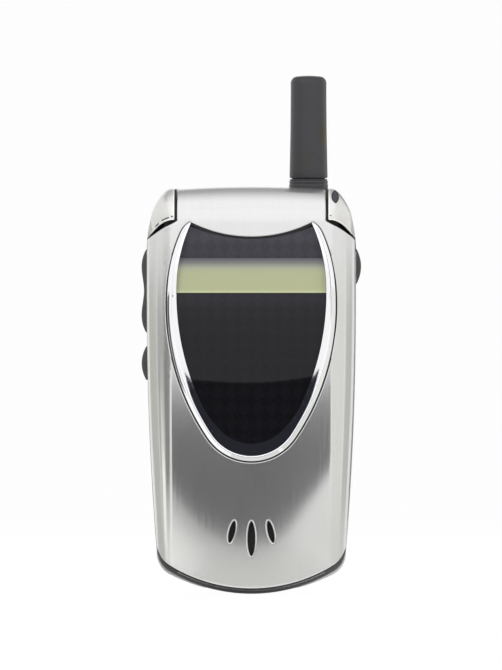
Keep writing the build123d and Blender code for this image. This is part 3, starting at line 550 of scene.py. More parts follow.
def lower_edge(x, low=1.28, radius=33):
    """The height of the lid's bowed lower edge."""
    return low + radius - math.sqrt(radius**2 - x**2)


# the lid's lower edge with its rounded corner, then the side, the shoulder and the barrel's end
lower = [(x, lower_edge(x)) for x in np.linspace(0, 17.9, 60)]
corner_in, corner_out = np.array(lower[-1]), np.array((half_width(9.9) - LID_INSET, 9.9))
knee = np.array((float(half_width(8.0)) - 0.4, 7.9))
corner = [
    (1 - t) ** 2 * corner_in + 2 * t * (1 - t) * knee + t**2 * corner_out
    for t in np.linspace(0, 1, 14)[1:]
]
side = [(float(half_width(z)) - LID_INSET, z) for z in np.arange(10.6, 74.6, 0.7)]
shoulder = smooth_through([(22.1, 74.6), (21.2, 75.5), (18.7, 77.25), (16.4, 78.35), (15.7, 78.7)], 12)
front_right = unrolled(np.concatenate([lower, corner, side, shoulder]))
roll = np.stack([np.full(60, BARREL_HALF), np.linspace(78.95, ROLL_END, 60)], 1)
end_row = np.stack([np.linspace(BARREL_HALF, 0, 30)[1:], np.full(29, ROLL_END)], 1)
lid_outline = both_halves(resampled(np.concatenate([front_right, roll, end_row]), 0.5))


def pointed_slot(width, height, middle, tilt):
    """A slot that narrows to a point above and below."""
    z = np.sin(np.linspace(-math.pi / 2, math.pi / 2, 31)) * height / 2
    half = np.stack([width / 2 * (1 - (2 * z / height) ** 2) ** 0.62, z], 1)
    loop = np.concatenate([half, (half * (-1, 1))[::-1][1:-1]])
    c, s = math.cos(math.radians(tilt)), math.sin(math.radians(tilt))
    return loop @ np.array([[c, s], [-s, c]]) + middle


slots = [
    pointed_slot(1.5, 7.3, (0, 11.75), 0),
    pointed_slot(1.15, 4.7, (-4.1, 13.2), -13),
    pointed_slot(1.15, 4.7, (4.1, 13.2), 13),
]
WINDOW_LOW = 75.4
window = horseshoe(ring_side, WINDOW_LOW, 0.4)
WALL, LEAST_WALL = 1.2, 0.08
EAR_GAP = 0.08  # left between the cover and the ears as it turns


def sweep_radius(x):
    """The radius round the hinge axis that the ears need."""
    return np.interp(np.abs(x), [15.7, 16.6, 18.5, 19.5, 20.4, 24], [6.5, 6.5, 5.75, 4.75, 4.1, 4.05])


def cover_back(flat, place, out, on_rim):
    """The cover's rear side: a wall that turns in to the lid's split line at the outer edge."""
    rear = place - out * WALL
    edge = on_rim & (flat[:, 1] < 79) & (nearest(flat, window, np.roll(window, -1, 0)) > 1e-3)
    for slot in slots:
        edge &= nearest(flat, slot, np.roll(slot, -1, 0)) > 1e-3
    clear = sweep_radius(place[:, 0]) ** 2 - (place[:, 2] - HINGE_Z) ** 2
    past_hinge = HINGE_Y - np.sqrt(np.maximum(clear, 0))
    deep = np.where(clear > 0, np.minimum(LID_SPLIT_Y, past_hinge), LID_SPLIT_Y)
    rear[edge] = np.stack([place[:, 0], np.maximum(deep, place[:, 1] + LEAST_WALL), place[:, 2]], 1)[edge]
    # beside the barrel the wall thins to pass the ears
    need = sweep_radius(rear[:, 0]) + EAR_GAP
    rise = rear[:, 2] - HINGE_Z
    within = np.hypot(rear[:, 1] - HINGE_Y, rise) < need
    close = (np.abs(rear[:, 0]) > 15.5) & (flat[:, 1] < 79) & within
    past_ears = HINGE_Y - np.sqrt(np.maximum(need**2 - rise**2, 0))
    rear[close, 1] = np.maximum(past_ears, place[:, 1] + LEAST_WALL)[close]
    return rear


lid_rounding = np.full(len(lid_outline), 0.35)
lid_rounding[np.abs(lid_outline[:, 0]) > CREASE + WING - 0.3] = 0
lid_rounding[lid_outline[:, 1] > ROLL_END - 0.01] = 0
lid_rounding[(lid_outline[:, 1] > 79.5) & (np.abs(lid_outline[:, 0]) > 15.6)] = 0.3
crease_lines = [
    np.stack([np.full(90, sx * CREASE), np.linspace(8.2, 77.6, 90)], 1) for sx in (-1, 1)
]
fine_columns = [
    (sx * (CREASE + dx), z)
    for sx in (-1, 1) for dx in (-0.3, 0.3, 1, 4.6, 5.6, 6.2, 6.7) for z in np.arange(8, 76, 0.8)
]
cover = skin(
    "lid_cover", brushed, lid_outline, [window] + slots, 0.8, lid_point, cover_back,
    [lid_rounding, np.full(len(window), 0.2)] + [np.full(len(s), 0.42) for s in slots],
    crease_lines, fine_columns,
)
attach(cover, "lid")
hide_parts("flip_cover")

# ---- Chrome surround ------------------------------------------------------------------
# A chromed horseshoe pressed into the lid's window: a raised rounded bead along the outside
# and a wide, slightly crowned step inside it, down to the lens. Black painted shade lines the groove at its
# foot.
chrome, tree, shader = finish_of("polished_chrome", (0.92, 0.925, 0.94), 0.06, 1.0)
specks = object_noise(tree, (1, 1, 1), 900, 3, 0.6)
tree.links.new(between_values(tree, specks, 0.03, 0.09, 0.35, 0.75), shader.inputs["Roughness"])

ring_edge, lens_edge = resampled(ring_side, 0.4), resampled(lens_side, 0.04)
facing = np.linalg.norm(ring_edge[:, None] - lens_edge, axis=2).argmin(1)
facing = lens_edge[np.maximum.accumulate(facing)]
outer = np.concatenate([ring_edge[::-1] * (-1, 1), ring_edge[1:]])
inner = np.concatenate([facing[::-1] * (-1, 1), facing[1:]])
FLANGE_Y, GROOVE_FLOOR_Y = -10.1, -11.35
FULL_SECTION = 2.2  # where the ring is narrower than this, its section is squeezed
# the section: y at distances from the outer edge, then at distances from the inner edge
BEAD = [
    (0.02, FLANGE_Y), (0.02, GROOVE_FLOOR_Y), (0.3, GROOVE_FLOOR_Y), (0.3, -11.93), (0.33, -12.01), (0.4, -12.05),
    (0.8, -12.16), (1.05, -12.23), (1.13, -12.25), (1.2, -12.235), (1.26, -12.19), (1.3, -12.163),
    (1.38, -12.152),
]
STEP = [(0.8, -12.185), (0.3, -12.199), (0.0, -12.206)]


def ring_quads(rings, count):
    """Faces between rings that follow on from each other, of count points each."""
    corners = [(k * count + m, k * count + (m + 1) % count) for k in range(rings - 1) for m in range(count)]
    return [(a, b, b + count, a + count) for a, b in corners]


def joined(parts):
    """Verts and faces of several forms as one."""
    verts, faces = [], []
    for more, more_faces in parts:
        faces += [tuple(i + len(verts) for i in f) for f in more_faces]
        verts += more
    return verts, faces


verts = []
for (rx, rz), (lx, lz) in zip(outer, inner):
    across = np.array((lx - rx, lz - rz))
    width = np.linalg.norm(across)
    across /= width
    squeeze = min(1, width / FULL_SECTION)
    section = [(d * squeeze, y) for d, y in BEAD] + [(width - d * squeeze, y) for d, y in STEP]
    section += [(width, -12.1), (width, FLANGE_Y)]
    verts += [(rx + across[0] * d, y, rz + across[1] * d) for d, y in section]
rows = len(section)
faces = [(a, d, c, b) for a, b, c, d in ring_quads(len(outer), rows)]
faces += [tuple(range(rows)), tuple(range(len(verts) - 1, len(verts) - 1 - rows, -1))]
# the black painted shade goes on as a strip along the window's hollow top edge
top_edge = hollow_top(ring_side[-1], WINDOW_LOW, 60)
top_edge = np.concatenate([top_edge, top_edge[::-1][1:] * (-1, 1)])
STRIP = [(-11.15, 0.12), (-11.15, -0.6), (FLANGE_Y, -0.6), (FLANGE_Y, 0.12)]
strip_verts = [(x, y, z + dz) for x, z in top_edge for y, dz in STRIP]
strip_faces = ring_quads(len(top_edge), 4)
strip_faces += [(3, 2, 1, 0), tuple(range(len(strip_verts) - 4, len(strip_verts)))]
both = joined([(verts, faces), (strip_verts, strip_faces)])
surround = new_piece("chrome_surround", *both, chrome, 40)
groove_shade_black = finish_of("black_groove_painted_shade", (0.008, 0.008, 0.009), 0.6)[0]
surround.data.materials.append(groove_shade_black)
for face in surround.data.polygons:
    ring_foot = face.index % rows < 2 and face.index < (len(outer) - 1) * rows
    if ring_foot or face.index >= len(faces):
        face.material_index = 1
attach(surround, "lid")
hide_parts("lens_bezel")

# ---- Outer lens and its screen --------------------------------------------------------
# A thick clear window, printed dark on its rear face with a faint pattern of lozenges, and
# left unprinted over the olive screen. The print and the screen show under its gloss. The print is
# painted paler towards the top as a painted reflection, and the screen carries painted light and shade.
lens_print_and_painted_light, tree, shader = finish_of("printed_lens_painted_light", (0.01, 0.01, 0.015), 0.03, 0.0, IOR=1.32)
x, _, z = object_place(tree)
LOZENGE = 0.00284
PAINTED_SHEEN_LOW, PAINTED_SHEEN_HIGH = 0.044, 0.076  # where the painted reflection on the print starts and where it is brightest
u = arithmetic(tree, "MULTIPLY", x, math.pi / LOZENGE)
v = arithmetic(tree, "MULTIPLY", z, math.pi / (LOZENGE * 1.15))
rising = arithmetic(tree, "SINE", arithmetic(tree, "ADD", u, v))
falling = arithmetic(tree, "SINE", arithmetic(tree, "SUBTRACT", u, v))
wave = arithmetic(tree, "MULTIPLY", rising, falling)
lozenges = between_values(tree, wave, 0, 1, -0.1, 0.1)
dark_low = between_colours(tree, lozenges, (0.0058, 0.0058, 0.0070), (0.0070, 0.0069, 0.0090))
print_with_painted_sheen = between_colours(tree, lozenges, (0.035, 0.0335, 0.042), (0.043, 0.041, 0.053))
# the print grows paler towards the top: a painted reflection
height = arithmetic(tree, "POWER", between_values(tree, z, 0, 1, PAINTED_SHEEN_LOW, PAINTED_SHEEN_HIGH), 3)
printed = between_colours(tree, height, dark_low, print_with_painted_sheen)


def in_band(tree, height, low, high):
    """1 between two heights, otherwise 0."""
    above = arithmetic(tree, "GREATER_THAN", height, low)
    return arithmetic(tree, "MULTIPLY", above, arithmetic(tree, "LESS_THAN", height, high))


SCREEN_LOW, SCREEN_HIGH = 0.0636, 0.0709
# the screen's colour: a painted highlight along its bottom edge, olive, then a painted shadow darkening it
# towards its top edge
screen_painted_shadow_ramp = tree.nodes.new("ShaderNodeValToRGB")
elements = screen_painted_shadow_ramp.color_ramp.elements
elements[0].position = 0.0
elements[0].color = (0.45, 0.47, 0.28, 1)
for position, colour in (
    (0.04, (0.43, 0.455, 0.265)), (0.08, (0.36, 0.38, 0.225)), (0.58, (0.352, 0.367, 0.225)),
    (0.70, (0.325, 0.338, 0.235)), (0.78, (0.25, 0.262, 0.215)), (0.86, (0.165, 0.168, 0.155)),
    (0.94, (0.115, 0.114, 0.125)), (0.97, (0.085, 0.083, 0.1)), (1.0, (0.10, 0.098, 0.12)),
):
    element = elements.new(position) if position < 1 else elements[-1]
    element.position = position
    element.color = (*colour, 1)
tree.links.new(between_values(tree, z, 0, 1, SCREEN_LOW, SCREEN_HIGH), screen_painted_shadow_ramp.inputs["Fac"])
in_screen = in_band(tree, z, SCREEN_LOW, SCREEN_HIGH)
colour_by(tree, shader, in_screen, printed, screen_painted_shadow_ramp.outputs["Color"])

LENS_TOP, LENS_HOLLOW = 77.9, 75.02
LENS_FACE_Y, LENS_REAR_Y = -11.75, -10.14
lens_loop = horseshoe(lens_side[lens_side[:, 1] < LENS_TOP], LENS_HOLLOW, 0.5)


def lens_point(x, z):
    """The lens is domed a little both ways."""
    y = LENS_FACE_Y + x**2 / 600 + (z - 50) ** 2 / 1800
    return np.stack([x, y, z], -1)


def lens_back(flat, place, out, on_rim):
    """Its rear side is flat."""
    return np.stack([place[:, 0], np.full(len(flat), LENS_REAR_Y), place[:, 2]], 1)


lens_rounding = [np.full(len(lens_loop), 0.12)]
lens = skin("outer_window", lens_print_and_painted_light, lens_loop, [], 1.6, lens_point, lens_back, lens_rounding)
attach(lens, "lid")
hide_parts("outer_lens")

# ---- Silver housing -------------------------------------------------------------------
# The base's back housing with the two hinge ears, the battery door and its latch: moulded
# plastic in fine silver paint. The door hooks in below and the sprung latch holds it above.
silver, tree, shader = finish_of("silver_paint", (0.70, 0.695, 0.67), 0.26, 0.85)
flakes = object_noise(tree, (1, 1, 1), 2600, 1, 0.5)
flake_share = between_values(tree, flakes, 0, 1, 0.3, 0.7)
colour_by(tree, shader, flake_share, (0.71, 0.705, 0.68), (0.75, 0.745, 0.72))
cloud = object_noise(tree, (1, 1, 1), 40, 0, 0.5)
tree.links.new(between_values(tree, cloud, 0.285, 0.325, 0.2, 0.8), shader.inputs["Roughness"])


SAME_PLANE = 0.999998  # the least cosine between faces of one flat
BROAD_FLAT = 6e-6  # square metres


def level_shading(mesh, sharp):
    """Corner normals that keep flat faces flat: next to a broad flat, a corner takes the
    flat's normal, elsewhere the mean of the faces round it that meet it smoothly."""
    count = len(mesh.polygons)
    normals, areas = np.empty(count * 3), np.empty(count)
    mesh.polygons.foreach_get("normal", normals)
    mesh.polygons.foreach_get("area", areas)
    normals = normals.reshape(-1, 3)
    group = list(range(count))

    def root(k):
        while group[k] != k:
            group[k] = group[group[k]]
            k = group[k]
        return k

    across, around = {}, [[] for v in mesh.vertices]
    for face in mesh.polygons:
        for v in face.vertices:
            around[v].append(face.index)
        for edge in face.edge_keys:
            other = across.setdefault(edge, face.index)
            if other != face.index and normals[other] @ normals[face.index] > SAME_PLANE:
                group[root(face.index)] = root(other)
    roots = np.array([root(k) for k in range(count)])
    extent = np.bincount(roots, areas, count)[roots]
    limit, corners = math.cos(math.radians(sharp)), []
    for face in mesh.polygons:
        for v in face.vertices:
            near = np.array([k for k in around[v] if normals[k] @ normals[face.index] > limit])
            widest = near[extent[near].argmax()]
            others = extent[near][roots[near] != roots[widest]]
            if extent[widest] > max(BROAD_FLAT, 3 * others.max(initial=0)):
                normal = normals[widest]
            else:
                normal = (normals[near] * areas[near, None]).sum(0)
            corners.append(normal / max(np.linalg.norm(normal), 1e-12))
    mesh.normals_split_custom_set(corners)


def dressed(node, material, sharp=28):
    """A joined-up copy of a moulded piece, smooth-shaded, that stands for its solid."""
    piece = bpy.data.objects.new(node + "_skin", nodes[node].data.copy())
    form = bmesh.new()
    form.from_mesh(piece.data)
    bmesh.ops.remove_doubles(form, verts=form.verts, dist=2e-6)
    bmesh.ops.dissolve_degenerate(form, edges=form.edges, dist=1e-7)
    form.to_mesh(piece.data)
    form.free()
    piece.data.materials.clear()
    piece.data.materials.append(material)
    piece.data.shade_smooth()
    piece.data.set_sharp_from_angle(angle=math.radians(sharp))
    scene.collection.objects.link(piece)
    level_shading(piece.data, sharp)
    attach(piece, body_of_node[node])
    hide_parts(node)
    return piece


for node in ("battery_door", "battery_latch"):
    dressed(node, silver)
housing = dressed("back_housing", silver)

# Inside the hinge the moulding is black as painted shade: on the bosses round the bores, the
# ledges behind the ears and the ears' inner walls. The front faces at the hinge take a darker
# silver, also painted shade. Limits in mm.
shade_black = finish_of("black_painted_shade", (0.006, 0.006, 0.007), 0.6)[0]
darker_silver_shade = finish_of("darker_silver_painted_shade", (0.5, 0.495, 0.47), 0.5)[0]
housing.data.materials.append(shade_black)
housing.data.materials.append(darker_silver_shade)
for face in housing.data.polygons:
    x, y, z = (c * 1000 for c in face.center)
    boss = math.hypot(y - HINGE_Y, z - HINGE_Z) < 5.15 and 15.5 < abs(x) < 18.7 and z < HINGE_Z
    level = face.normal.y < -0.9 and -3.2 < y < 2.4 and z > 70.2 and 15.5 < abs(x) < 21.6
    inner_wall = abs(abs(x) - 16.25) < 0.02 and z > 73
    if boss or level or inner_wall:
        face.material_index = 1
    elif face.normal.y < -0.99 and -5.1 < y < -4.8 and z > 70:
        face.material_index = 2

# A narrow rolled edge runs down the inner side of each ear and along its lower lip, in a paler,
# creamier silver that is a painted highlight; above the lip lie short dark marks, a painted
# reflection. All follow the dome's radius about the hinge axis.
ear_x = np.array([16.25, 16.6, 17.0, 17.5, 18.0, 18.5, 19.0, 19.5, 20.0, 20.5, 21.0, 21.2])
ear_r = np.array([6.3, 6.289, 6.241, 6.108, 5.821, 5.362, 4.778, 4.083, 3.275, 2.306, 0.998, 0.5])
lip_z = np.array([79.0, 79.0, 78.98, 78.88, 78.72, 78.48, 78.16, 77.78, 77.3, 76.78, 76.2, 75.95])


def on_ear(x, z, raised=0.0):
    """A point of the right ear's front, raised above it."""
    radius = np.interp(x, ear_x, ear_r)
    turn = math.asin(min(max(z - HINGE_Z, 0) / radius, 1))
    below, reach = min(z - HINGE_Z, 0), radius + raised
    return (x, HINGE_Y - reach * math.cos(turn), HINGE_Z + below + reach * math.sin(turn))


# Beads swept along paths. The tree takes a mesh of bare edges and gives each line a round
# section with closed ends.
bead_tree = bpy.data.node_groups.new("beads_along_paths", "GeometryNodeTree")
for socket, kind in (("Paths", "Geometry"), ("Radius", "Float"), ("Sides", "Int"), ("Finish", "Material")):
    bead_tree.interface.new_socket(socket, in_out="INPUT", socket_type="NodeSocket" + kind)
bead_tree.interface.new_socket("Beads", in_out="OUTPUT", socket_type="NodeSocketGeometry")
given = bead_tree.nodes.new("NodeGroupInput").outputs
section = bead_tree.nodes.new("GeometryNodeCurvePrimitiveCircle")
to_curve = bead_tree.nodes.new("GeometryNodeMeshToCurve")
sweep = bead_tree.nodes.new("GeometryNodeCurveToMesh")
sweep.inputs["Fill Caps"].default_value = True
realize = bead_tree.nodes.new("GeometryNodeRealizeInstances")
painted = bead_tree.nodes.new("GeometryNodeSetMaterial")
result = bead_tree.nodes.new("NodeGroupOutput")
for source, target in (
    (given["Paths"], to_curve.inputs["Mesh"]), (given["Sides"], section.inputs["Resolution"]),
    (given["Radius"], section.inputs["Radius"]), (to_curve.outputs[0], sweep.inputs["Curve"]),
    (section.outputs["Curve"], sweep.inputs["Profile Curve"]), (sweep.outputs[0], realize.inputs[0]),
    (realize.outputs[0], painted.inputs["Geometry"]), (given["Finish"], painted.inputs["Material"]),
    (painted.outputs[0], result.inputs["Beads"]),
):
    bead_tree.links.new(source, target)


def beads(name, paths, radius, finish, sides=10):
    """A piece of round beads along paths, in mm."""
    points, edges = joined([(list(path), [(k, k + 1) for k in range(len(path) - 1)]) for path in paths])
    lines = bpy.data.meshes.new(name + "_paths")
    lines.from_pydata([tuple(p) for p in np.array(points) / 1000], edges, [])
    piece = bpy.data.objects.new(name, lines)
    scene.collection.objects.link(piece)
    modifier = piece.modifiers.new("beads", "NODES")
    modifier.node_group = bead_tree
    values = {"Radius": radius / 1000, "Sides": sides, "Finish": finish}
    for socket in bead_tree.interface.items_tree:
        if socket.name in values:
            modifier[socket.identifier] = values[socket.name]
    evaluated = piece.evaluated_get(bpy.context.evaluated_depsgraph_get())
    mesh = bpy.data.meshes.new_from_object(evaluated)
    piece.modifiers.remove(modifier)
    piece.data = mesh
    bpy.data.meshes.remove(lines)
    mesh.name = name
    mesh.shade_smooth()
    mesh.set_sharp_from_angle(angle=math.radians(60))
    return piece


INNER_X, INNER_R = 16.42, 6.17  # where the ears' inner edge lies
inner_edge = [
    (INNER_X, HINGE_Y - INNER_R * math.cos(a), HINGE_Z + INNER_R * math.sin(a))
    for a in np.linspace(0.03, 1.5, 40)
]
lip_x = np.linspace(INNER_X, 21.1, 40)
lip_path = [on_ear(x, z + 0.1, -0.12) for x, z in zip(lip_x, np.interp(lip_x, ear_x, lip_z))]
edges_and_lips = [np.array(path) * (side, 1, 1) for side in (1, -1) for path in (inner_edge, lip_path)]
# the beads' paler, creamier copy of the silver is a painted highlight
painted_highlight_silver = finish_of("painted_highlight_silver", (0.93, 0.915, 0.86), 0.3, 0.5)[0]
trim = beads("ear_trim", edges_and_lips, 0.17, painted_highlight_silver)
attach(trim, "base")
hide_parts("back_housing")
# dark marks above the lip, a painted reflection, in the black painted-shade finish
dark_reflection_marks = []
for side, low, high, lift in (
    (1, 16.55, 16.85, 0.9), (-1, 16.55, 16.95, 0.7), (-1, 17.4, 18.85, 0.55), (-1, 19.55, 20.2, 0.5)
):
    path = [on_ear(x, float(np.interp(x, ear_x, lip_z)) + lift) for x in np.linspace(low, high, 12)]
    dark_reflection_marks.append(np.array(path) * (side, 1, 1))
marks = beads("ear_marks", dark_reflection_marks, 0.12, shade_black)
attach(marks, "base")
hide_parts("back_housing")

# ---- Status light ---------------------------------------------------------------------
# A small smoked window with pointed ends, set nearly flush into the right ear; its rim is
# black, painted shade at the seam.
smoked = finish_of("smoked_window", (0.045, 0.04, 0.055), 0.12, IOR=1.45)[0]
LIGHT_X, LIGHT_Z = 17.68, 83.85
HALF_HIGH, HALF_WIDE = 1.38, 0.8
lean = math.radians(5)
verts, turns = [], 48
# share of the outline and height above the ear, from the foot to the middle
rings = [(1.0, -0.35), (1.0, 0.03), (0.95, 0.07), (0.8, 0.07), (0.76, 0.03), (0.5, 0.04), (0.25, 0.05)]
for share, raised in rings:
    for k in range(turns):
        a = 2 * math.pi * k / turns
        h = math.sin(a) * HALF_HIGH
        w = math.copysign((1 - (h / HALF_HIGH) ** 2) ** 0.7, math.cos(a)) * HALF_WIDE
        x = LIGHT_X + share * (w * math.cos(lean) - h * math.sin(lean))
        z = LIGHT_Z + share * (w * math.sin(lean) + h * math.cos(lean))
        verts.append(on_ear(x, z, raised))
faces = ring_quads(len(rings), turns)
verts.append(on_ear(LIGHT_X, LIGHT_Z, 0.05))
last = (len(rings) - 1) * turns
faces += [(last + k, last + (k + 1) % turns, len(verts) - 1) for k in range(turns)]
window_light = new_piece("status_window", verts, faces, smoked, 50)
window_light.data.materials.append(groove_shade_black)
for face in window_light.data.polygons:
    if face.index < 4 * turns:
        face.material_index = 1
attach(window_light, "base")
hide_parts("status_light")

# ---- Hinge pins -----------------------------------------------------------------------
# Turned steel shafts on the hinge axis, plated bright, pressed into the ears' bores. On each
# sits a washer that fills the gap between the ear and the lid's barrel, black as painted shade in that gap.


def lathe(profile, centre, axis="Z", count=72):
    """Verts and faces turned from (radius, height) points about an axis through centre."""
    verts = []
    for r, h in profile:
        for m in range(count):
            a = 2 * math.pi * m / count
            across, up = r * math.cos(a), r * math.sin(a)
            verts.append(tuple(np.add((across, up, h) if axis == "Z" else (h, across, up), centre)))
    return verts, ring_quads(len(profile), count)


def bevelled(inner, radius, low, high, bevel):
    """The profile of a rod or washer with bevelled ends."""
    flat = radius - bevel
    side = [(flat, low), (radius, low + bevel), (radius, high - bevel), (flat, high)]
    return [(inner, low)] + side + [(inner, high)]


turned = []
# ends and radius of each shaft, then the ends of its washer
for low, high, r, low_w, high_w in ((-18.0, -10.0, 1.25, -16.18, -15.76), (9.5, 18.0, 1.95, 15.76, 16.18)):
    for profile in (bevelled(0.01, r, low, high, 0.2), bevelled(r, 6.15, low_w, high_w, 0.1)):
        turned.append(lathe(profile, (0, HINGE_Y, HINGE_Z), "X"))
plated = finish_of("plated_steel", (0.66, 0.66, 0.65), 0.18, 1.0)[0]
pins = new_piece("hinge_shafts", *joined(turned), plated, 40)
pins.data.materials.append(shade_black)
for face in pins.data.polygons:
    face.material_index = face.index // len(turned[0][1]) % 2  # every second form is a washer
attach(pins, "base")
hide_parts("hinge_pins")

# ---- Dark mouldings -------------------------------------------------------------------
# The keypad housing and the lid's inner housing: dark grey satin plastic with a fine spark
# texture.
dark, tree, shader = finish_of("dark_moulding", (0.082, 0.082, 0.086), 0.38)
spark = object_noise(tree, (1, 1, 1), 6000, 2, 0.6)
add_bump(tree, shader, spark, 0.15, 0.00001)
tree.links.new(between_values(tree, spark, 0.32, 0.46), shader.inputs["Roughness"])
for node in ("keypad_housing", "flip_inner_housing"):
    dressed(node, dark)

# a fine raised line follows the keypad housing's lower rim, in a paler grey that is a painted highlight
rim_painted_highlight = finish_of("rim_painted_highlight", (0.33, 0.33, 0.34), 0.4)[0]


def surface_of(node):
    """What casts rays at a node's solid, and the solid's corners, in metres."""
    solid = nodes[node].data
    corners = [v.co for v in solid.vertices]
    return BVHTree.FromPolygons(corners, [p.vertices for p in solid.polygons]).ray_cast, np.array(corners)


cast, _ = surface_of("keypad_housing")
rim_path = []
for x in np.linspace(-15.5, 15.5, 90):
    z = lower_edge(x) - 0.5
    hit = cast((x / 1000, -0.02, z / 1000), (0, 1, 0))[0]
    if hit is not None:
        rim_path.append((x, hit.y * 1000 - 0.02, z))
rim_line = beads("rim_line", [rim_path], 0.14, rim_painted_highlight)
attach(rim_line, "base")
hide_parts("keypad_housing")

# ---- Side keys ------------------------------------------------------------------------
# The two keys on the left side and the one on the right, with crowned pads, and the plug of
# the antenna port in the back: soft rubber in dark grey-brown, each moulded in one piece. The
# keys are held in slots of the side walls, the plug in its hole.
rubber, tree, shader = finish_of("side_rubber", (0.045, 0.044, 0.042), 0.55)
mottle = object_noise(tree, (1, 1, 1), 1800, 3, 0.6)
add_bump(tree, shader, mottle, 0.2, 0.00002)
dressed("rf_plug", rubber)
ROUND_OFF, EDGE_RADIUS = 1.1, 0.6  # of the pads' corners and edges
INSET = 0.03  # the pads are this much smaller than the solids all round
PAD_REAR = 20.0  # the pads' rear faces stand this far from the middle of the phone
for node in ("volume_rocker", "smart_key", "voice_key"):
    cast, corners = surface_of(node)
    corners = corners * 1000
    side = math.copysign(1, corners[:, 0].mean())
    (y0, z0), (y1, z1) = corners[:, 1:].min(0) + INSET, corners[:, 1:].max(0) - INSET
    # the crown along the key, taken at its middle
    rows_z = np.linspace(z0 + 0.02, z1 - 0.02, 60)
    crown = []
    for z in rows_z:
        hit = cast((side * 0.03, 0.003, z / 1000), (-side, 0, 0))[0]
        crown.append(abs(hit.x) * 1000 if hit is not None else 21.9)
    half = np.array(((y1 - y0) / 2, (z1 - z0) / 2))
    centre = np.array((side * (y0 + y1) / 2, (z0 + z1) / 2))
    outline = []
    for quarter, corner in enumerate(((1, 1), (-1, 1), (-1, -1), (1, -1))):
        for a in np.linspace(quarter * math.pi / 2, (quarter + 1) * math.pi / 2, 8):
            bend = ROUND_OFF * np.array((math.cos(a), math.sin(a)))
            outline.append(np.array(corner) * (half - ROUND_OFF) + bend + centre)
    outline = resampled(np.array(outline + outline[:1]), 0.35)[:-1]

    def pad_point(u, z):
        return np.stack([side * np.interp(z, rows_z, crown), side * u, z], -1)

    def pad_back(flat, place, out, on_rim):
        return np.stack([np.full(len(flat), side * PAD_REAR), place[:, 1], place[:, 2]], 1)

    rounding = [np.full(len(outline), EDGE_RADIUS)]
    pad = skin(node + "_pad", rubber, outline, [], 0.5, pad_point, pad_back, rounding)
    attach(pad, body_of_node[node])
    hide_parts(node)

# ---- Antenna --------------------------------------------------------------------------
# A charcoal plastic head, moulded on a plated rod that slides up and down, and the ridged
# bushing that it rests on, screwed into the top of the base. The rod is bright steel, and so
# are the screws and the hinge cartridge, which come here with it.
charcoal, tree, shader = finish_of("antenna_charcoal", (0.065, 0.065, 0.07), 0.36, IOR=1.4)
stain = object_noise(tree, (1, 1, 1), 160, 3, 0.55)
stain_share = between_values(tree, stain, 0, 1, 0.52, 0.66)
colour_by(tree, shader, stain_share, (0.033, 0.033, 0.037), (0.035, 0.029, 0.012))
ANTENNA_AXIS = (12.1, 6.6, 0)
TIP, ROUNDING = 109.6, 1.6
# radius and height, up from the foot
head = [(0.01, 87.9), (3.7, 87.9), (3.95, 87.98), (4.03, 88.2), (4.0, 89.5), (3.83, 98), (3.77, 106)]
head.append((3.78, TIP - ROUNDING))
for a in np.linspace(0.1, math.pi / 2, 14):
    head.append((2.3 + 1.48 * math.cos(a), TIP - ROUNDING + 1.45 * math.sin(a)))
head += [(1.2, TIP - 0.05), (0.01, TIP)]
collar = [
    (1.12, 82.4), (4.1, 82.4), (4.1, 85.9), (4.13, 86.3), (4.06, 86.6), (4.0, 86.72), (4.06, 86.84),
    (4.1, 87.1), (4.0, 87.32), (3.93, 87.4), (4.0, 87.5), (3.98, 87.6), (3.85, 87.7), (3.55, 87.74),
    (3.5, 87.88), (1.12, 87.88), (1.12, 82.4),
]
for name, profile, node in (
    ("antenna_grip", head, "antenna_head"), ("antenna_collar", collar, "antenna_bushing")
):
    piece = new_piece(name, *lathe(profile, ANTENNA_AXIS, "Z", 96), charcoal, 40)
    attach(piece, body_of_node[node])
    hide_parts(node)
for node in ("antenna_whip", "housing_screws", "flip_screws", "hinge_cartridge"):
    dressed(node, plated)

# ---- Keys -----------------------------------------------------------------------------
# The seventeen key caps and the scroll rocker: hard plastic, moulded one by one and lacquered
# in satin silver, glued onto the rubber mat that springs them.
cap, tree, shader = finish_of("key_cap", (0.40, 0.405, 0.41), 0.32, 0.35)
satin = object_noise(tree, (1, 1, 1), 2500, 2, 0.5)
tree.links.new(between_values(tree, satin, 0.28, 0.4, 0.3, 0.7), shader.inputs["Roughness"])
for node in nodes:
    if node.startswith("key_") or node == "scroll_rocker":
        dressed(node, cap)

# ---- Key legends ----------------------------------------------------------------------
# Digits and plain signs printed on the key caps: dark ink, with a green dot on the left lower
# key and a red one on the right. Each is a thin raised print that follows its cap.
dark_ink = finish_of("dark_ink", (0.02, 0.02, 0.025), 0.5)[0]
green_ink = finish_of("green_ink", (0.01, 0.20, 0.05), 0.45)[0]
red_ink = finish_of("red_ink", (0.42, 0.015, 0.012), 0.45)[0]


def disc(radius, count=32):
    """A round outline about the key's middle."""
    turns = [2 * math.pi * k / count for k in range(count)]
    return [(radius * math.cos(a), radius * math.sin(a)) for a in turns]


def bar(width, height, z=0):
    """An oblong outline, z above the key's middle."""
    return [(sx * width / 2, z + sz * height / 2) for sx, sz in SQUARE]


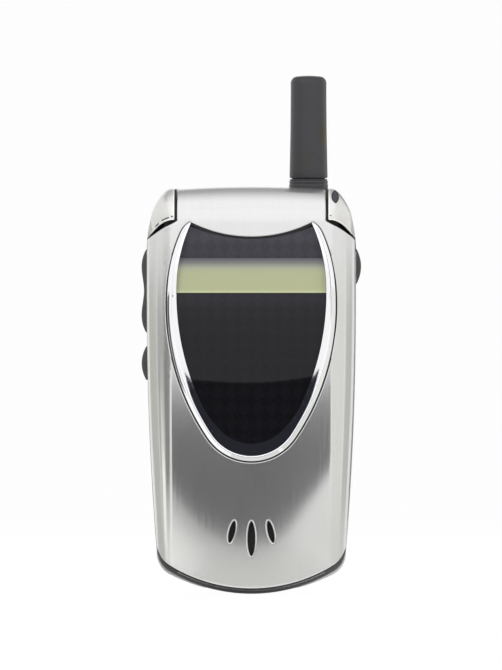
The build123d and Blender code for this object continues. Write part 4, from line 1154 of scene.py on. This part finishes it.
signs = {"key_%d" % n: str(n) for n in range(10)}
signs |= {"key_star": "*", "key_hash": "#"}
signs |= {
    "key_soft_left": [bar(3.0, 0.5)], "key_soft_right": [bar(3.0, 0.5)],
    "key_menu": [bar(2.6, 0.36, dz) for dz in (-0.85, 0, 0.85)],
    "key_send": [disc(1.1)], "key_end": [disc(1.1)],
    "scroll_rocker": [[(-1.1, 3.0), (1.1, 3.0), (0, 4.4)], [(1.1, -3.0), (-1.1, -3.0), (0, -4.4)]],
}
DIGIT_SIZE, STAR_SIZE = 0.0048, 0.0062
HALF_PRINT, OFF_CAP = 0.00002, 0.00001  # half the print's thickness and its lift, in metres
for node, sign in signs.items():
    cast, corners = surface_of(node)
    middle = (corners.min(0) + corners.max(0)) / 2
    if isinstance(sign, str):
        letter = bpy.data.curves.new(node + "_sign", "FONT")
        letter.body = sign
        letter.size = STAR_SIZE if sign == "*" else DIGIT_SIZE
        letter.extrude = HALF_PRINT
        letter.align_x = "CENTER"
        holder = bpy.data.objects.new(node + "_sign", letter)
        print_mesh = bpy.data.meshes.new_from_object(holder)
        bpy.data.objects.remove(holder)
        spots = np.array([v.co for v in print_mesh.vertices])
        spots[:, :2] -= (spots[:, :2].min(0) + spots[:, :2].max(0)) / 2
        shapes = [tuple(p.vertices) for p in print_mesh.polygons]
        bpy.data.meshes.remove(print_mesh)
    else:
        spots, shapes = [], []
        for outline in sign:
            n = len(outline)
            slab = [(x / 1000, z / 1000, lift) for lift in (-HALF_PRINT, HALF_PRINT) for x, z in outline]
            caps = [tuple(range(n, 2 * n)), tuple(reversed(range(n)))]
            spots, shapes = joined([(spots, shapes), (slab, caps + ring_quads(2, n))])
    verts = []
    for x, z, lift in spots:
        place = (middle[0] + x, middle[2] + z)
        hit = cast((place[0], -0.01, place[1]), (0, 1, 0))[0]
        verts.append((place[0] * 1000, (hit.y - OFF_CAP - lift) * 1000, place[1] * 1000))
    ink = {"key_send": green_ink, "key_end": red_ink}.get(node, dark_ink)
    printed_sign = new_piece(node + "_legend", verts, shapes, ink, 40)
    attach(printed_sign, body_of_node[node])
    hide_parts(node)

# ---- Inner pieces ---------------------------------------------------------------------
# What lies behind the housings, such as boards, battery, motor and sound units, and the
# windows. Each keeps its moulded, stamped or printed form and has one plain finish.
plain_finishes = [
    ("outer_display", (0.4, 0.42, 0.28), 0.3, 0),
    ("inner_display", (0.03, 0.033, 0.038), 0.15, 0),
    ("inner_lens", (0.02, 0.022, 0.025), 0.05, 0),
    ("main_board flip_board", (0.02, 0.10, 0.045), 0.4, 0),
    ("shield_cans dome_sheet", (0.6, 0.6, 0.58), 0.3, 1),
    ("keypad_mat", (0.5, 0.5, 0.48), 0.5, 0),
    ("side_switches microphone earpiece ringer", (0.03, 0.03, 0.03), 0.5, 0),
    ("accessory_connector", (0.02, 0.02, 0.02), 0.45, 0),
    ("headset_jack", (0.02, 0.02, 0.02), 0.4, 0),
    ("vibration_motor", (0.6, 0.6, 0.6), 0.3, 1),
    ("motor_weight", (0.3, 0.3, 0.3), 0.4, 1),
    ("battery_pack", (0.05, 0.05, 0.055), 0.5, 0),
    ("battery_contacts", (0.8, 0.6, 0.3), 0.3, 1),
    ("ringer_mesh", (0.012, 0.012, 0.013), 0.6, 0),
    ("flip_magnet", (0.4, 0.4, 0.4), 0.3, 1),
    ("flip_bumpers", (0.05, 0.05, 0.05), 0.6, 0),
    ("hinge_flex", (0.5, 0.25, 0.06), 0.4, 0),
]
for names, colour, rough, metal in plain_finishes:
    for node in names.split():
        made = finish_of(node + "_finish", colour, rough, metal)[0]
        nodes[node].data.materials.clear()
        nodes[node].data.materials.append(made)

# the inner lens is printed black round its edge and clear over the grey-green screen
CLEAR_HALF, CLEAR_LOW, CLEAR_HIGH = 0.0134, 0.0355, 0.0605
tree = nodes["inner_lens"].data.materials[0].node_tree
x, _, z = object_place(tree)
across = arithmetic(tree, "LESS_THAN", arithmetic(tree, "ABSOLUTE", x), CLEAR_HALF)
clear_area = arithmetic(tree, "MULTIPLY", across, in_band(tree, z, CLEAR_LOW, CLEAR_HIGH))
shader = tree.nodes["Principled BSDF"]
colour_by(tree, shader, clear_area, (0.006, 0.006, 0.007), (0.24, 0.26, 0.19))
